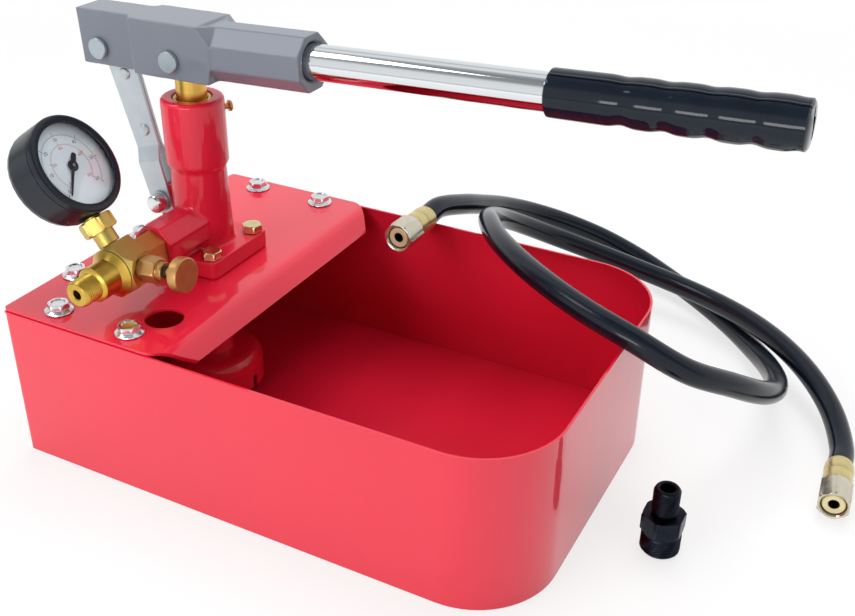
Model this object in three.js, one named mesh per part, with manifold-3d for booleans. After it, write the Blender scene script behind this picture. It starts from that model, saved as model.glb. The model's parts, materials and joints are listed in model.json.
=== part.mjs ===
// Hand test pump for pipework: a sheet steel tank, a plunger pump with a lever, a gauge and a hose.
// Millimetres, +Z up. The origin is the middle of the tank's floor, and +X points to the handle's grip.
import * as THREE from "three";
import { mergeVertices } from "three/addons/utils/BufferGeometryUtils.js";
import Module from "manifold-3d";

// Clearances and fineness shared by every piece
const fit = 0.3;
const overrun = 2;
const weld = 0.0005;
const roundSides = 32;
const midSides = 20;
const smallSides = 12;
const hexSides = 18;
const arcSteps = 10;

// Tank
const tankLength = 355;
const tankWidth = 242;
const tankHeight = 104.6;
const tankWall = 1.5;
const tankRearRadius = 4;
const tankFrontRadius = 52;
const ledgeWidth = 24;
const ledgeReach = 113;

// Cover plate
const plateThickness = 2;
const plateReach = 121.5;
const plateEdge = 1;
const plateWidth = tankWidth - plateEdge * 2;
const plateRearRadius = 3;
const plateCornerRadius = 12;
const plateCornerLead = 2;
const lipDrop = 10.9;
const lipForward = 11.5;
const lipTaper = 25;
const bendRadius = 12;
const fillerRadius = 12;
const fillerFromRear = 96;
const fillerOffset = 82.9;

// Plate bolts
const plateBoltRadius = 4;
const plateBoltFlats = 12;
const plateBoltHead = 5.6;
const plateBoltFlangeRadius = 8.9;
const plateBoltFlange = 2.2;
const plateBoltLength = 13;
const plateNutFlats = 13;
const plateNutHeight = 6;
const sideBoltInset = 14.5;
const sideBoltRear = 33.3;
const sideBoltSpacing = 55.5;
const rearBoltInset = 10;
const rearBoltSpacing = 66;

// Pump body
const pumpX = -112;
const flangeLength = 59;
const flangeWidth = 61;
const flangeThickness = 12;
const flangeRadius = 4;
const barrelBaseRadius = 19.8;
const barrelTopRadius = 18;
const barrelHeight = 52.8;
const collarRadius = 20.2;
const collarShoulder = 3.2;
const pumpHeight = 111.2;
const collarChamfer = 1.6;
const bossFlats = 28.6;
const bossReach = 51.5;
const bossHeight = 26.5;
const spigotRadius = 14;
const spigotLength = 12;
const boreRadius = 10.2;
const boreFloor = 17;
const inletRadius = 8.3;
const portRadius = 4.2;
const socketRadius = 7.9;
const socketDepth = 11;

// Base bolts
const baseBoltRadius = 4;
const baseBoltFlats = 12;
const baseBoltHead = 5.3;
const baseBoltLength = 23;
const baseBoltSpacing = 45;
const baseNutHeight = 4.5;

// Gland at the top of the barrel
const glandRadius = 12.5;
const glandLength = 12;
const glandRecess = 0.8;
const packingLength = 7;
const packingBoreDepth = 21;

// Bleed screw
const bleedTurn = 1.03;
const bleedDrop = 11;
const bleedRadius = 1.9;
const bleedDepth = 5;
const bleedReach = 6;
const bleedHeadRadius = 3.6;
const bleedHeadLength = 2.4;

// Suction foot under the plate
const suctionTubeRadius = 9.4;
const suctionThreadRadius = 8;
const suctionThreadLength = 14;
const suctionBoreRadius = 4;
const suctionBottom = 30;
const strainerRadius = 33;
const strainerTop = 34;
const strainerBottom = 9;
const strainerWall = 1.6;
const strainerShoulder = 10;
const strainerCollar = 8;
const strainerCollarWall = 3;
const strainerSlotWidth = 4.2;
const strainerSlotHeight = 9;
const strainerSlots = 8;
const suctionBallRadius = 5;

// Valve block, on the axis of the boss
const valveOut = 77;
const valveTurn = THREE.MathUtils.degToRad(5.5);
const blockFlats = 31.2;
const blockFront = 12.8;
const blockBack = 6;
const blockChamfer = 3;
const blockFaceRadius = 15.2;
const neckFlats = 22;
const neckSpigotRadius = 7.5;
const blockBoreRadius = 3;
const chamberRadius = 5.2;
const chamberBack = 14;
const deliveryBallRadius = 4;
const springWireRadius = 0.5;
const springRadius = 3.6;
const springTurns = 6;
const deliveryLift = 1;

// Outlet nipple
const nippleShoulder = 4;
const nippleShoulderRadius = 15;
const nippleRadius = 11;
const nippleLength = 13;
const nippleStep = 1;
const nippleEndRadius = 8.5;
const nippleTipRadius = 7.9;
const nippleEnd = 13;
const nippleSpigotRadius = 6.6;
const nippleSpigot = 3;

// Release valve
const releaseFlats = 14.6;
const spotRadius = 10.8;
const spotDepth = 1.6;
const releaseHex = 12.6;
const releaseNeckRadius = 5.9;
const releaseNeck = 4;
const releaseThreadRadius = 5;
const releaseThread = 7;
const spindleRadius = 2.9;
const spindleTip = 2.5;
const spindleShow = 9;
const releaseSealRadius = 3.8;
const releaseSeal = 1.6;
const knobRadius = 11;
const knobDepth = 7;
const knobChamfer = 0.8;
const knobHole = 4;

// Gauge
const gaugeForward = 2;
const gaugeSwing = THREE.MathUtils.degToRad(4.8);
const gaugeRadius = 31.7;
const gaugeCentre = 66.4;
const gaugeFront = 14.5;
const gaugeDepth = 26.5;
const caseWall = 1.4;
const caseRound = 4;
const bezelDepth = 5;
const bezelInnerRadius = 26.4;
const lensRecess = 2.3;
const lensThickness = 1.4;
const dialDepth = 6.6;
const dialThickness = 0.8;
const needleDepth = 5;
const needleThickness = 0.6;
const needleLength = 21;
const needleTail = 9;
const needleWidth = 2.2;
const needleHubRadius = 2.8;
const needleHub = 1.5;
const arborRadius = 0.9;
const needleTurn = THREE.MathUtils.degToRad(222);
const gaugeNutFlats = 19.5;
const gaugeNut = 9.7;
const gaugeNeckRadius = 6.9;
const gaugeNeck = 8.7;
const gaugeThreadRadius = 4.4;
const gaugeThread = 7;
const stemRadius = 5;
const stemSeat = 8;
const stemBlock = 11;
const stemBlockTop = 15;
const stemBlockLift = 1.2;
const movementWidth = 15;
const movementHeight = 13;
const movementDepth = 5;
const bourdonRadius = 18;
const bourdonThick = 2.4;
const bourdonWide = 5;
const bourdonTurn = THREE.MathUtils.degToRad(262);
const bourdonSteps = 26;

// Lever, in its own frame: the rear pin is its origin, and the handle's axis gives its tilt
const leverTilt = THREE.MathUtils.degToRad(2.57);
const rearPinHeight = 243.4;
const frontPinAlong = 59.8;
const frontPinDrop = 0.9;
const pinRadius = 4;
const pinHeadRadius = 6.75;
const pinHead = 3;
const headRear = 15.4;
const headFront = 90;
const headTopRear = 24;
const headTopFront = 21.8;
const headBottomRear = 10.9;
const headBottomFront = 13.2;
const headSlope = 9.8;
const headSlopeRun = 8;
const headRearHalf = 12.3;
const headFrontHalf = 17.5;
const headRearCorner = 1.5;
const headFlare = 30;
const headFlareRadius = 5.2;
const socketFlats = 33.3;
const socketDrop = 0.6;
const socketReach = 152.7;
const tubeAxis = 4.3;
const tubeRadius = 10.65;
const tubeWall = 1.6;
const tubeSeat = 60;
const tubeMouth = 2;
const cavityHalf = 10.3;
const cavityRadius = 14.8;
const cavityBehind = 26;
const slotHalf = 4.2;

// Grip
const gripStart = 299.8;
const gripLength = 134;
const gripStartRadius = 13.2;
const gripEndRadius = 13.9;
const gripWaveDepth = 1.3;
const gripWaveStart = 18.6;
const gripWaveLength = 22.4;
const gripRings = 48;
const gripSides = 16;
const gripRound = 2;
const gripFloor = 4;

// Links between the lug on the barrel and the lever
const lugOffset = 29.5;
const lugHeight = 34.6;
const lugThickness = 7.6;
const lugRadius = 9;
const lugRise = 22;
const strapThickness = 2;
const strapLowHalf = 8;
const strapLowReach = 8.6;
const strapLowCorner = 2.4;
const strapTopFront = 13.4;
const strapTopRadius = 10;
const joggleStart = 27.5;
const joggleEnd = 37;
const rivetOffset = 3.2;
const rivetLow = 48.1;
const rivetBelowPin = 20.1;
const rivetRadius = 2.5;
const rivetHeadRadius = 4;
const rivetHead = 1.3;
const linkPinRadius = 4;
const linkPinHeadRadius = 6.3;
const linkPinHead = 6.6;
const linkPinChamfer = 1.6;
const linkPinTail = 3;
const linkWasherRadius = 7.2;
const linkWasher = 1.5;

// Plunger
const plungerRadius = 9.7;
const plungerTop = 9.5;
const plungerChamfer = 3;
const plungerBottom = 146;
const eyeRadius = 6.6;
const pistonNeckRadius = 6.5;
const pistonSealLength = 5;
const pistonSealRadius = 9.85;
const pistonFoot = 4;

// Hose and its end fittings
const hoseRadius = 7.8;
const hoseSides = 10;
const hoseSteps = 46;
const nutFlats = 19;
const nutLength = 20;
const nutBoreRadius = 8;
const nutShoulder = 5;
const nutChamfer = 1.6;
const tailRecess = 1.4;
const tailHeadRadius = 7.3;
const tailNeckRadius = 5.6;
const tailBoreRadius = 2.7;
const tailCone = 1.2;
const ferruleRadius = 9.3;
const ferruleWaist = 0.7;
const ferruleLength = 21.7;
const firstFace = new THREE.Vector3(-2.3, 69, 114);
const firstAxis = new THREE.Vector3(0.02, 0.9995, -0.025).normalize();
const secondFace = new THREE.Vector3(309.6, 56.3, 11.2);
const secondAxis = new THREE.Vector3(-0.09, 0.9957, 0.024).normalize();
const secondNutTurn = THREE.MathUtils.degToRad(30);

// The hose's middle line as it lies: over the far rim, behind the tank, up over the right rim,
// across the open corner of the tank, down behind it again and along the table to the other end
const hoseRoute = [
  [-1.5, 111.3, 113],
  [-1.1, 127.3, 113.7],
  [2.5, 163, 103.2],
  [4, 197.5, 89.5],
  [7, 231, 75.5],
  [18, 262.5, 60.5],
  [41.5, 286, 46],
  [72.5, 299, 32.5],
  [107, 299, 21],
  [141, 288, 12.5],
  [172, 269.5, 8.6],
  [199.5, 245, 8.3],
  [222.5, 216.5, 11],
  [240, 185.5, 18],
  [251, 152, 28.5],
  [254.5, 118, 42],
  [250, 86, 58.5],
  [237, 57, 77],
  [213.5, 31, 95],
  [181.5, 22, 112.5],
  [147.5, 30, 119],
  [115, 46.5, 121.8],
  [86, 69, 121.3],
  [61, 95.5, 118],
  [41.5, 126, 111.6],
  [27.5, 158, 100],
  [22.5, 191, 85],
  [28.5, 222, 67.5],
  [46.5, 247, 50.5],
  [78.5, 259.5, 38.5],
  [114, 263, 30.5],
  [150, 258, 27],
  [184.5, 245.5, 26.5],
  [216, 227, 27.3],
  [245, 204, 26.7],
  [270.5, 178.5, 23],
  [291.5, 149, 17],
  [304.4, 114.3, 12.6],
  [305.8, 98.4, 12.2],
];

// Adapter that stands on the table
const adapterX = 223.4;
const adapterY = -17.5;
const adapterFlats = 23.5;
const adapterHex = 12;
const adapterLowRadius = 12;
const adapterLow = 15;
const adapterTopRadius = 8;
const adapterTop = 18.5;
const adapterBoreRadius = 4.5;
const adapterChamfer = 1.5;

// Places that follow from the sizes above
const plateBottom = tankHeight + fit;
const plateTop = plateBottom + plateThickness;
const plateRear = -tankLength / 2;
const pumpBottom = plateTop + fit;
const pumpTop = pumpBottom + pumpHeight;
const flangeTop = pumpBottom + flangeThickness;
const valveHeight = pumpBottom + bossHeight - fit;
const bossFace = -bossReach;
const rearPinX = pumpX - frontPinAlong * Math.cos(leverTilt) - frontPinDrop * Math.sin(leverTilt);
const frontPinHeight =
  rearPinHeight + frontPinAlong * Math.sin(leverTilt) - frontPinDrop * Math.cos(leverTilt);
const lugX = pumpX - lugOffset;
const lugZ = pumpBottom + lugHeight;
const linkLength = Math.hypot(lugX - rearPinX, rearPinHeight - lugZ);
const linkTilt = Math.atan2(lugX - rearPinX, rearPinHeight - lugZ);

const wasm = await Module();
wasm.setup();

// Finishes
const finish = (colour, roughness, metalness) =>
  new THREE.MeshStandardMaterial({ color: colour, roughness, metalness });
const redPaint = finish(0xd9263a, 0.35, 0);
const greyPaint = finish(0x85899a, 0.4, 0.2);
const zinc = finish(0xd8d4d6, 0.3, 1);
const yellowZinc = finish(0xcdb98a, 0.3, 1);
const brass = finish(0xcfa63c, 0.25, 1);
const dullBrass = finish(0xa88848, 0.4, 1);
const steel = finish(0xb9c3c8, 0.35, 1);
const chrome = finish(0xe6e8ea, 0.08, 1);
const blackRubber = finish(0x20242c, 0.5, 0);
const blackPaint = finish(0x1e2430, 0.3, 0);
const whiteCard = finish(0xe9ecf0, 0.6, 0);
const clearGlass = finish(0xf4f8fa, 0.05, 0);

// Lathe work is turned about Z, and these lay it along X or Y
const alongX = new THREE.Matrix4().makeRotationY(Math.PI / 2);
const alongY = new THREE.Matrix4().makeRotationX(-Math.PI / 2);
// An outline drawn in X and Z is extruded along Y, and one drawn in Y and Z along X
const acrossY = new THREE.Matrix4().makeRotationX(Math.PI / 2);
const acrossX = new THREE.Matrix4().makeBasis(
  new THREE.Vector3(0, 1, 0),
  new THREE.Vector3(0, 0, 1),
  new THREE.Vector3(1, 0, 0),
);

// A closed geometry as a solid that can be joined and cut
function solid(geometry) {
  const bare = geometry.clone();
  bare.deleteAttribute("normal");
  bare.deleteAttribute("uv");
  const merged = mergeVertices(bare, weld);
  const kept = [];
  const index = merged.index.array;
  for (let i = 0; i < index.length; i += 3) {
    const [a, b, c] = [index[i], index[i + 1], index[i + 2]];
    if (a !== b && b !== c && c !== a) kept.push(a, b, c);
  }
  return new wasm.Manifold(
    new wasm.Mesh({
      numProp: 3,
      vertProperties: merged.attributes.position.array,
      triVerts: new Uint32Array(kept),
    }),
  );
}

const join = (...pieces) => pieces.reduce((whole, piece) => whole.add(piece));
const cut = (base, ...tools) => tools.reduce((left, tool) => left.subtract(tool), base);

// One named piece of the pump
function piece(name, finishOfPiece, shape) {
  const { vertProperties, triVerts } = shape.getMesh();
  const geometry = new THREE.BufferGeometry();
  geometry.setAttribute("position", new THREE.BufferAttribute(new Float32Array(vertProperties), 3));
  geometry.setIndex(new THREE.BufferAttribute(new Uint32Array(triVerts), 1));
  geometry.computeVertexNormals();
  const mesh = new THREE.Mesh(geometry, finishOfPiece);
  mesh.name = name;
  return mesh;
}

// A turned piece from its profile of [radius, height], bottom to top on the outside
function turned(profile, sides = roundSides) {
  const points = profile.map(([radius, height]) => new THREE.Vector2(radius, height));
  return new THREE.LatheGeometry(points, sides).rotateX(Math.PI / 2);
}

const rod = (radius, from, to, sides) =>
  turned([[0, from], [radius, from], [radius, to], [0, to]], sides);

const tube = (inner, outer, from, to, sides) =>
  turned([[inner, from], [outer, from], [outer, to], [inner, to], [inner, from]], sides);

// A six-sided bar with two of its flats facing +X and -X
function hexBar(flats, from, to) {
  const corner = flats / 2 / Math.cos(Math.PI / 6);
  const bar = new THREE.CylinderGeometry(corner, corner, to - from, 6);
  return bar.rotateX(Math.PI / 2).translate(0, 0, (from + to) / 2);
}

// A hexagon whose corners are turned off at both ends
function turnedHex(flats, from, to, chamfer) {
  const corner = flats / 2 / Math.cos(Math.PI / 6);
  const inner = corner - chamfer;
  const run = chamfer / 2;
  const envelope = turned([
    [0, from], [inner, from], [corner + weld, from + run],
    [corner + weld, to - run], [inner, to], [0, to],
  ], hexSides);
  return solid(hexBar(flats, from, to)).intersect(solid(envelope));
}

function extruded(shape, from, to) {
  const depth = to - from;
  const settings = { depth, bevelEnabled: false, curveSegments: arcSteps };
  return new THREE.ExtrudeGeometry(shape, settings).translate(0, 0, from);
}

// An outline in X and Z, extruded along Y between two places
const sideways = (shape, from, to) => extruded(shape, -to, -from).applyMatrix4(acrossY);

const polygon = (points) => new THREE.Shape(points.map(([x, y]) => new THREE.Vector2(x, y)));

function box(x0, x1, y0, y1, z0, z1) {
  const block = new THREE.BoxGeometry(x1 - x0, y1 - y0, z1 - z0);
  return block.translate((x0 + x1) / 2, (y0 + y1) / 2, (z0 + z1) / 2);
}

// A rectangle whose rear and front corners each have their own radius
function roundedPlan(x0, x1, half, rearRadius, frontRadius) {
  const shape = new THREE.Shape();
  shape.moveTo(x0 + rearRadius, -half);
  shape.lineTo(x1 - frontRadius, -half);
  shape.absarc(x1 - frontRadius, -half + frontRadius, frontRadius, -Math.PI / 2, 0);
  shape.lineTo(x1, half - frontRadius);
  shape.absarc(x1 - frontRadius, half - frontRadius, frontRadius, 0, Math.PI / 2);
  shape.lineTo(x0 + rearRadius, half);
  shape.absarc(x0 + rearRadius, half - rearRadius, rearRadius, Math.PI / 2, Math.PI);
  shape.lineTo(x0, -half + rearRadius);
  shape.absarc(x0 + rearRadius, -half + rearRadius, rearRadius, Math.PI, Math.PI * 1.5);
  return shape;
}

// Where the seven plate bolts stand
function plateBoltPlaces() {
  const places = [];
  const sideY = tankWidth / 2 - sideBoltInset;
  for (const side of [-1, 1]) {
    for (const step of [0, 1]) {
      places.push([plateRear + sideBoltRear + step * sideBoltSpacing, side * sideY]);
    }
  }
  for (const step of [-1, 0, 1]) places.push([plateRear + rearBoltInset, step * rearBoltSpacing]);
  return places;
}

function baseBoltPlaces() {
  const half = baseBoltSpacing / 2;
  const sides = [-1, 1];
  return sides.flatMap((x) => sides.map((y) => [pumpX + x * half, y * half]));
}

// Open tank of bent sheet, with a ledge and welded nuts that carry the cover plate
function tankShell() {
  const half = tankWidth / 2;
  const rear = -tankLength / 2;
  const outer = roundedPlan(rear, -rear, half, tankRearRadius, tankFrontRadius);
  const inner = roundedPlan(
    rear + tankWall, -rear - tankWall, half - tankWall,
    tankRearRadius - tankWall, tankFrontRadius - tankWall,
  );
  let shell = cut(
    solid(extruded(outer, 0, tankHeight)),
    solid(extruded(inner, tankWall, tankHeight + overrun)),
  );
  const ledgeBottom = tankHeight - tankWall;
  const ledgeFront = rear + ledgeReach;
  const inset = tankWall / 2;
  const innerHalf = half - ledgeWidth;
  shell = join(
    shell,
    cut(
      solid(box(rear + inset, ledgeFront, inset - half, half - inset, ledgeBottom, tankHeight)),
      solid(box(rear + ledgeWidth, ledgeFront + overrun, -innerHalf, innerHalf,
        ledgeBottom - overrun, tankHeight + overrun)),
    ),
  );
  for (const [x, y] of plateBoltPlaces()) {
    const nut = hexBar(plateNutFlats, ledgeBottom - plateNutHeight, ledgeBottom + inset);
    const hole = rod(plateBoltRadius + fit, ledgeBottom - plateNutHeight - overrun,
      tankHeight + overrun, smallSides);
    shell = cut(join(shell, solid(nut.translate(x, y, 0))), solid(hole.translate(x, y, 0)));
  }
  return piece("tank_shell", redPaint, shell);
}

// Plan of the cover plate, whose front corners are rounded into the bent lip
function platePlan() {
  const half = plateWidth / 2;
  const bend = plateRear + plateReach;
  const cornerX = bend - plateCornerRadius;
  const leadX = bend - plateCornerLead;
  const tipX = bend + lipForward + overrun;
  const lipHalf = half - lipTaper;
  const shape = new THREE.Shape();
  shape.moveTo(plateRear + plateRearRadius, -half);
  shape.lineTo(cornerX, -half);
  shape.quadraticCurveTo(leadX, -half, tipX, -lipHalf);
  shape.lineTo(tipX, lipHalf);
  shape.quadraticCurveTo(leadX, half, cornerX, half);
  shape.lineTo(plateRear + plateRearRadius, half);
  shape.absarc(plateRear + plateRearRadius, half - plateRearRadius, plateRearRadius,
    Math.PI / 2, Math.PI);
  shape.lineTo(plateRear, -half + plateRearRadius);
  shape.absarc(plateRear + plateRearRadius, -half + plateRearRadius, plateRearRadius,
    Math.PI, Math.PI * 1.5);
  return shape;
}

function coverPlate() {
  const half = plateWidth / 2;
  const bend = plateRear + plateReach;
  const slope = Math.atan2(lipDrop, lipForward);
  const bendStart = bend - bendRadius * Math.tan(slope / 2);
  const edgeX = plateThickness * Math.sin(slope);
  const edgeZ = plateThickness * Math.cos(slope);
  const bentSide = (radius) => {
    const points = [];
    for (let i = 0; i <= arcSteps / 2; i += 1) {
      const turn = (slope * i) / (arcSteps / 2);
      points.push([
        bendStart + radius * Math.sin(turn),
        plateTop - bendRadius + radius * Math.cos(turn),
      ]);
    }
    return points;
  };
  const section = polygon([
    [plateRear, plateTop],
    ...bentSide(bendRadius),
    [bend + lipForward, plateTop - lipDrop],
    [bend + lipForward - edgeX, plateTop - lipDrop - edgeZ],
    ...bentSide(bendRadius - plateThickness).reverse(),
    [plateRear, plateBottom],
  ]);
  const low = plateTop - lipDrop - plateThickness - overrun;
  let plate = solid(sideways(section, -half, half));
  plate = plate.intersect(solid(extruded(platePlan(), low, plateTop + overrun)));
  for (const [x, y] of baseBoltPlaces()) {
    const nut = hexBar(baseBoltFlats, plateBottom - baseNutHeight, plateBottom + plateThickness / 2);
    plate = join(plate, solid(nut.translate(x, y, 0)));
  }
  const hole = (radius, x, y, sides) =>
    solid(rod(radius, low - overrun, plateTop + overrun, sides).translate(x, y, 0));
  plate = cut(plate, hole(spigotRadius + fit, pumpX, 0, roundSides));
  plate = cut(plate, hole(fillerRadius, plateRear + fillerFromRear, -fillerOffset, roundSides));
  for (const [x, y] of plateBoltPlaces()) {
    plate = cut(plate, hole(plateBoltRadius + fit, x, y, smallSides));
  }
  for (const [x, y] of baseBoltPlaces()) {
    plate = cut(plate, hole(baseBoltRadius + fit, x, y, smallSides));
  }
  return piece("cover_plate", redPaint, plate);
}

// Flanged hexagon bolt that holds the cover plate
function plateBolt(name, x, y, turn) {
  const seat = plateTop + fit;
  const washer = turned([
    [0, 0], [plateBoltFlangeRadius, 0], [plateBoltFlangeRadius, plateBoltFlange / 3],
    [plateBoltFlats / 2, plateBoltFlange], [0, plateBoltFlange],
  ], midSides);
  const shape = join(
    solid(washer),
    turnedHex(plateBoltFlats, plateBoltFlange / 2, plateBoltHead, plateBoltFlats / 14),
    solid(rod(plateBoltRadius, -plateBoltLength, plateBoltFlange / 2, smallSides)),
  );
  const bolt = piece(name, zinc, shape);
  bolt.position.set(x, y, seat);
  bolt.rotation.z = turn;
  return bolt;
}

function baseBolt(name, x, y, turn) {
  const shape = join(
    turnedHex(baseBoltFlats, 0, baseBoltHead, baseBoltFlats / 12),
    solid(rod(baseBoltRadius, -baseBoltLength, baseBoltHead / 2, smallSides)),
  );
  const bolt = piece(name, yellowZinc, shape);
  bolt.position.set(x, y, flangeTop + fit);
  bolt.rotation.z = turn;
  return bolt;
}

// Lug on the barrel that carries the links' lower pin
function lugOutline() {
  const shape = new THREE.Shape();
  shape.moveTo(pumpX, flangeTop - overrun);
  shape.lineTo(pumpX, lugZ + lugRise);
  shape.lineTo(lugX, lugZ + lugRadius);
  shape.absarc(lugX, lugZ, lugRadius, Math.PI / 2, Math.PI);
  shape.lineTo(Math.max(lugX - lugRadius, pumpX - flangeLength / 2 + flangeRadius), flangeTop - overrun);
  return shape;
}

// Cast barrel with its base flange, side boss, lug and the spigot through the plate
function pumpBody() {
  const barrelTop = flangeTop + barrelHeight;
  const outside = turned([
    [0, pumpBottom - spigotLength],
    [spigotRadius, pumpBottom - spigotLength],
    [spigotRadius, flangeTop - overrun],
    [barrelBaseRadius, flangeTop - overrun],
    [barrelTopRadius, barrelTop],
    [collarRadius, barrelTop + collarShoulder],
    [collarRadius, pumpTop - collarChamfer],
    [collarRadius - collarChamfer, pumpTop],
    [0, pumpTop],
  ]);
  const base = roundedPlan(-flangeLength / 2, flangeLength / 2, flangeWidth / 2,
    flangeRadius, flangeRadius);
  const bossCorner = bossFlats / 2 / Math.cos(Math.PI / 8);
  const boss = new THREE.CylinderGeometry(bossCorner, bossCorner, bossReach, 8);
  boss.rotateY(Math.PI / 8).translate(0, -bossReach / 2, valveHeight);
  let body = join(
    solid(outside.translate(pumpX, 0, 0)),
    solid(extruded(base, pumpBottom, flangeTop).translate(pumpX, 0, 0)),
    solid(boss.translate(pumpX, 0, 0)),
    solid(sideways(lugOutline(), -lugThickness / 2, lugThickness / 2)),
  );
  const floor = pumpBottom + boreFloor;
  const bore = turned([
    [0, pumpBottom - spigotLength - overrun],
    [inletRadius, pumpBottom - spigotLength - overrun],
    [inletRadius, floor],
    [boreRadius, floor + boreRadius - inletRadius],
    [boreRadius, pumpTop - packingBoreDepth],
    [glandRadius + fit, pumpTop - packingBoreDepth],
    [glandRadius + fit, pumpTop + overrun],
    [0, pumpTop + overrun],
  ]);
  const port = rod(portRadius, bossFace - overrun, -boreRadius / 2, smallSides);
  const socket = rod(socketRadius, bossFace - overrun, bossFace + socketDepth, midSides);
  const linkHole = rod(linkPinRadius + fit, -lugThickness, lugThickness, smallSides);
  body = cut(
    body,
    solid(bore.translate(pumpX, 0, 0)),
    solid(port.applyMatrix4(alongY).translate(pumpX, 0, valveHeight)),
    solid(socket.applyMatrix4(alongY).translate(pumpX, 0, valveHeight)),
    solid(linkHole.applyMatrix4(alongY).translate(lugX, 0, lugZ)),
    bleedHole(),
  );
  for (const [x, y] of baseBoltPlaces()) {
    const hole = rod(baseBoltRadius + fit, pumpBottom - overrun, flangeTop + overrun, smallSides);
    body = cut(body, solid(hole.translate(x, y, 0)));
  }
  return piece("pump_body", redPaint, body);
}

// The bleed screw lies along a radius of the collar
function placeBleed(geometry) {
  return geometry.applyMatrix4(alongX).rotateZ(bleedTurn).translate(pumpX, 0, pumpTop - bleedDrop);
}

function bleedHole() {
  const from = collarRadius - bleedDepth;
  return solid(placeBleed(rod(bleedRadius + fit, from, collarRadius + overrun, smallSides)));
}

function bleedScrew() {
  const from = collarRadius - bleedDepth + fit;
  const to = collarRadius + bleedReach;
  const shape = join(
    solid(placeBleed(rod(bleedRadius, from, to, smallSides))),
    solid(placeBleed(rod(bleedHeadRadius, to - bleedHeadLength, to, smallSides))),
  );
  return piece("bleed_screw", brass, shape);
}

function glandNut() {
  const top = pumpTop - glandRecess;
  const ring = tube(plungerRadius + fit, glandRadius, top - glandLength, top);
  return piece("gland_nut", brass, solid(ring.translate(pumpX, 0, 0)));
}

function glandPacking() {
  const from = pumpTop - packingBoreDepth + fit;
  const top = pumpTop - glandRecess - glandLength - fit;
  const to = Math.min(from + packingLength, top);
  const ring = tube(plungerRadius + fit, glandRadius, from, to);
  return piece("gland_packing", blackRubber, solid(ring.translate(pumpX, 0, 0)));
}

// Suction pipe that screws up into the pump's spigot
function suctionTube() {
  const threadBottom = pumpBottom - spigotLength - fit;
  const threadTop = threadBottom + suctionThreadLength;
  const outline = turned([
    [suctionBoreRadius, suctionBottom],
    [suctionTubeRadius, suctionBottom],
    [suctionTubeRadius, threadBottom],
    [suctionThreadRadius, threadBottom],
    [suctionThreadRadius, threadTop],
    [suctionBoreRadius, threadTop],
    [suctionBoreRadius, suctionBottom],
  ], midSides);
  return piece("suction_tube", redPaint, solid(outline.translate(pumpX, 0, 0)));
}

// Bell-shaped strainer on the suction pipe, open below and slotted round its rim
function suctionStrainer() {
  const collarRadiusIn = suctionTubeRadius + fit;
  const collarRadiusOut = collarRadiusIn + strainerCollarWall;
  const straight = strainerTop - strainerShoulder;
  const arc = (radius, grow) => {
    const points = [];
    for (let i = 0; i <= arcSteps / 2; i += 1) {
      const turn = (i / (arcSteps / 2)) * (Math.PI / 2);
      const reach = radius - strainerShoulder + (strainerShoulder - grow) * Math.cos(turn);
      points.push([reach, straight + (strainerShoulder - grow) * Math.sin(turn)]);
    }
    return points;
  };
  const outline = turned([
    [strainerRadius - strainerWall, strainerBottom],
    [strainerRadius, strainerBottom],
    ...arc(strainerRadius, 0),
    [collarRadiusOut, strainerTop],
    [collarRadiusOut, strainerTop + strainerCollar],
    [collarRadiusIn, strainerTop + strainerCollar],
    [collarRadiusIn, strainerTop - strainerWall],
    ...arc(strainerRadius, strainerWall).reverse(),
    [strainerRadius - strainerWall, strainerBottom],
  ], strainerSlots * 3);
  let bell = solid(outline);
  for (let i = 0; i < strainerSlots / 2; i += 1) {
    const reach = strainerRadius + overrun;
    const half = strainerSlotWidth / 2;
    const slot = box(-reach, reach, -half, half, strainerBottom - overrun,
      strainerBottom + strainerSlotHeight);
    bell = cut(bell, solid(slot.rotateZ((i * Math.PI * 2) / strainerSlots)));
  }
  const foot = piece("suction_strainer", redPaint, bell);
  foot.position.x = pumpX;
  return foot;
}

// Non-return ball on the mouth of the suction pipe
function suctionBall() {
  const seat = pumpBottom - spigotLength - fit + suctionThreadLength;
  const rise = Math.sqrt(suctionBallRadius ** 2 - suctionBoreRadius ** 2);
  const ball = new THREE.SphereGeometry(suctionBallRadius, smallSides, smallSides / 2);
  return piece("suction_ball", steel, solid(ball.translate(pumpX, 0, seat + rise + fit)));
}

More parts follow.
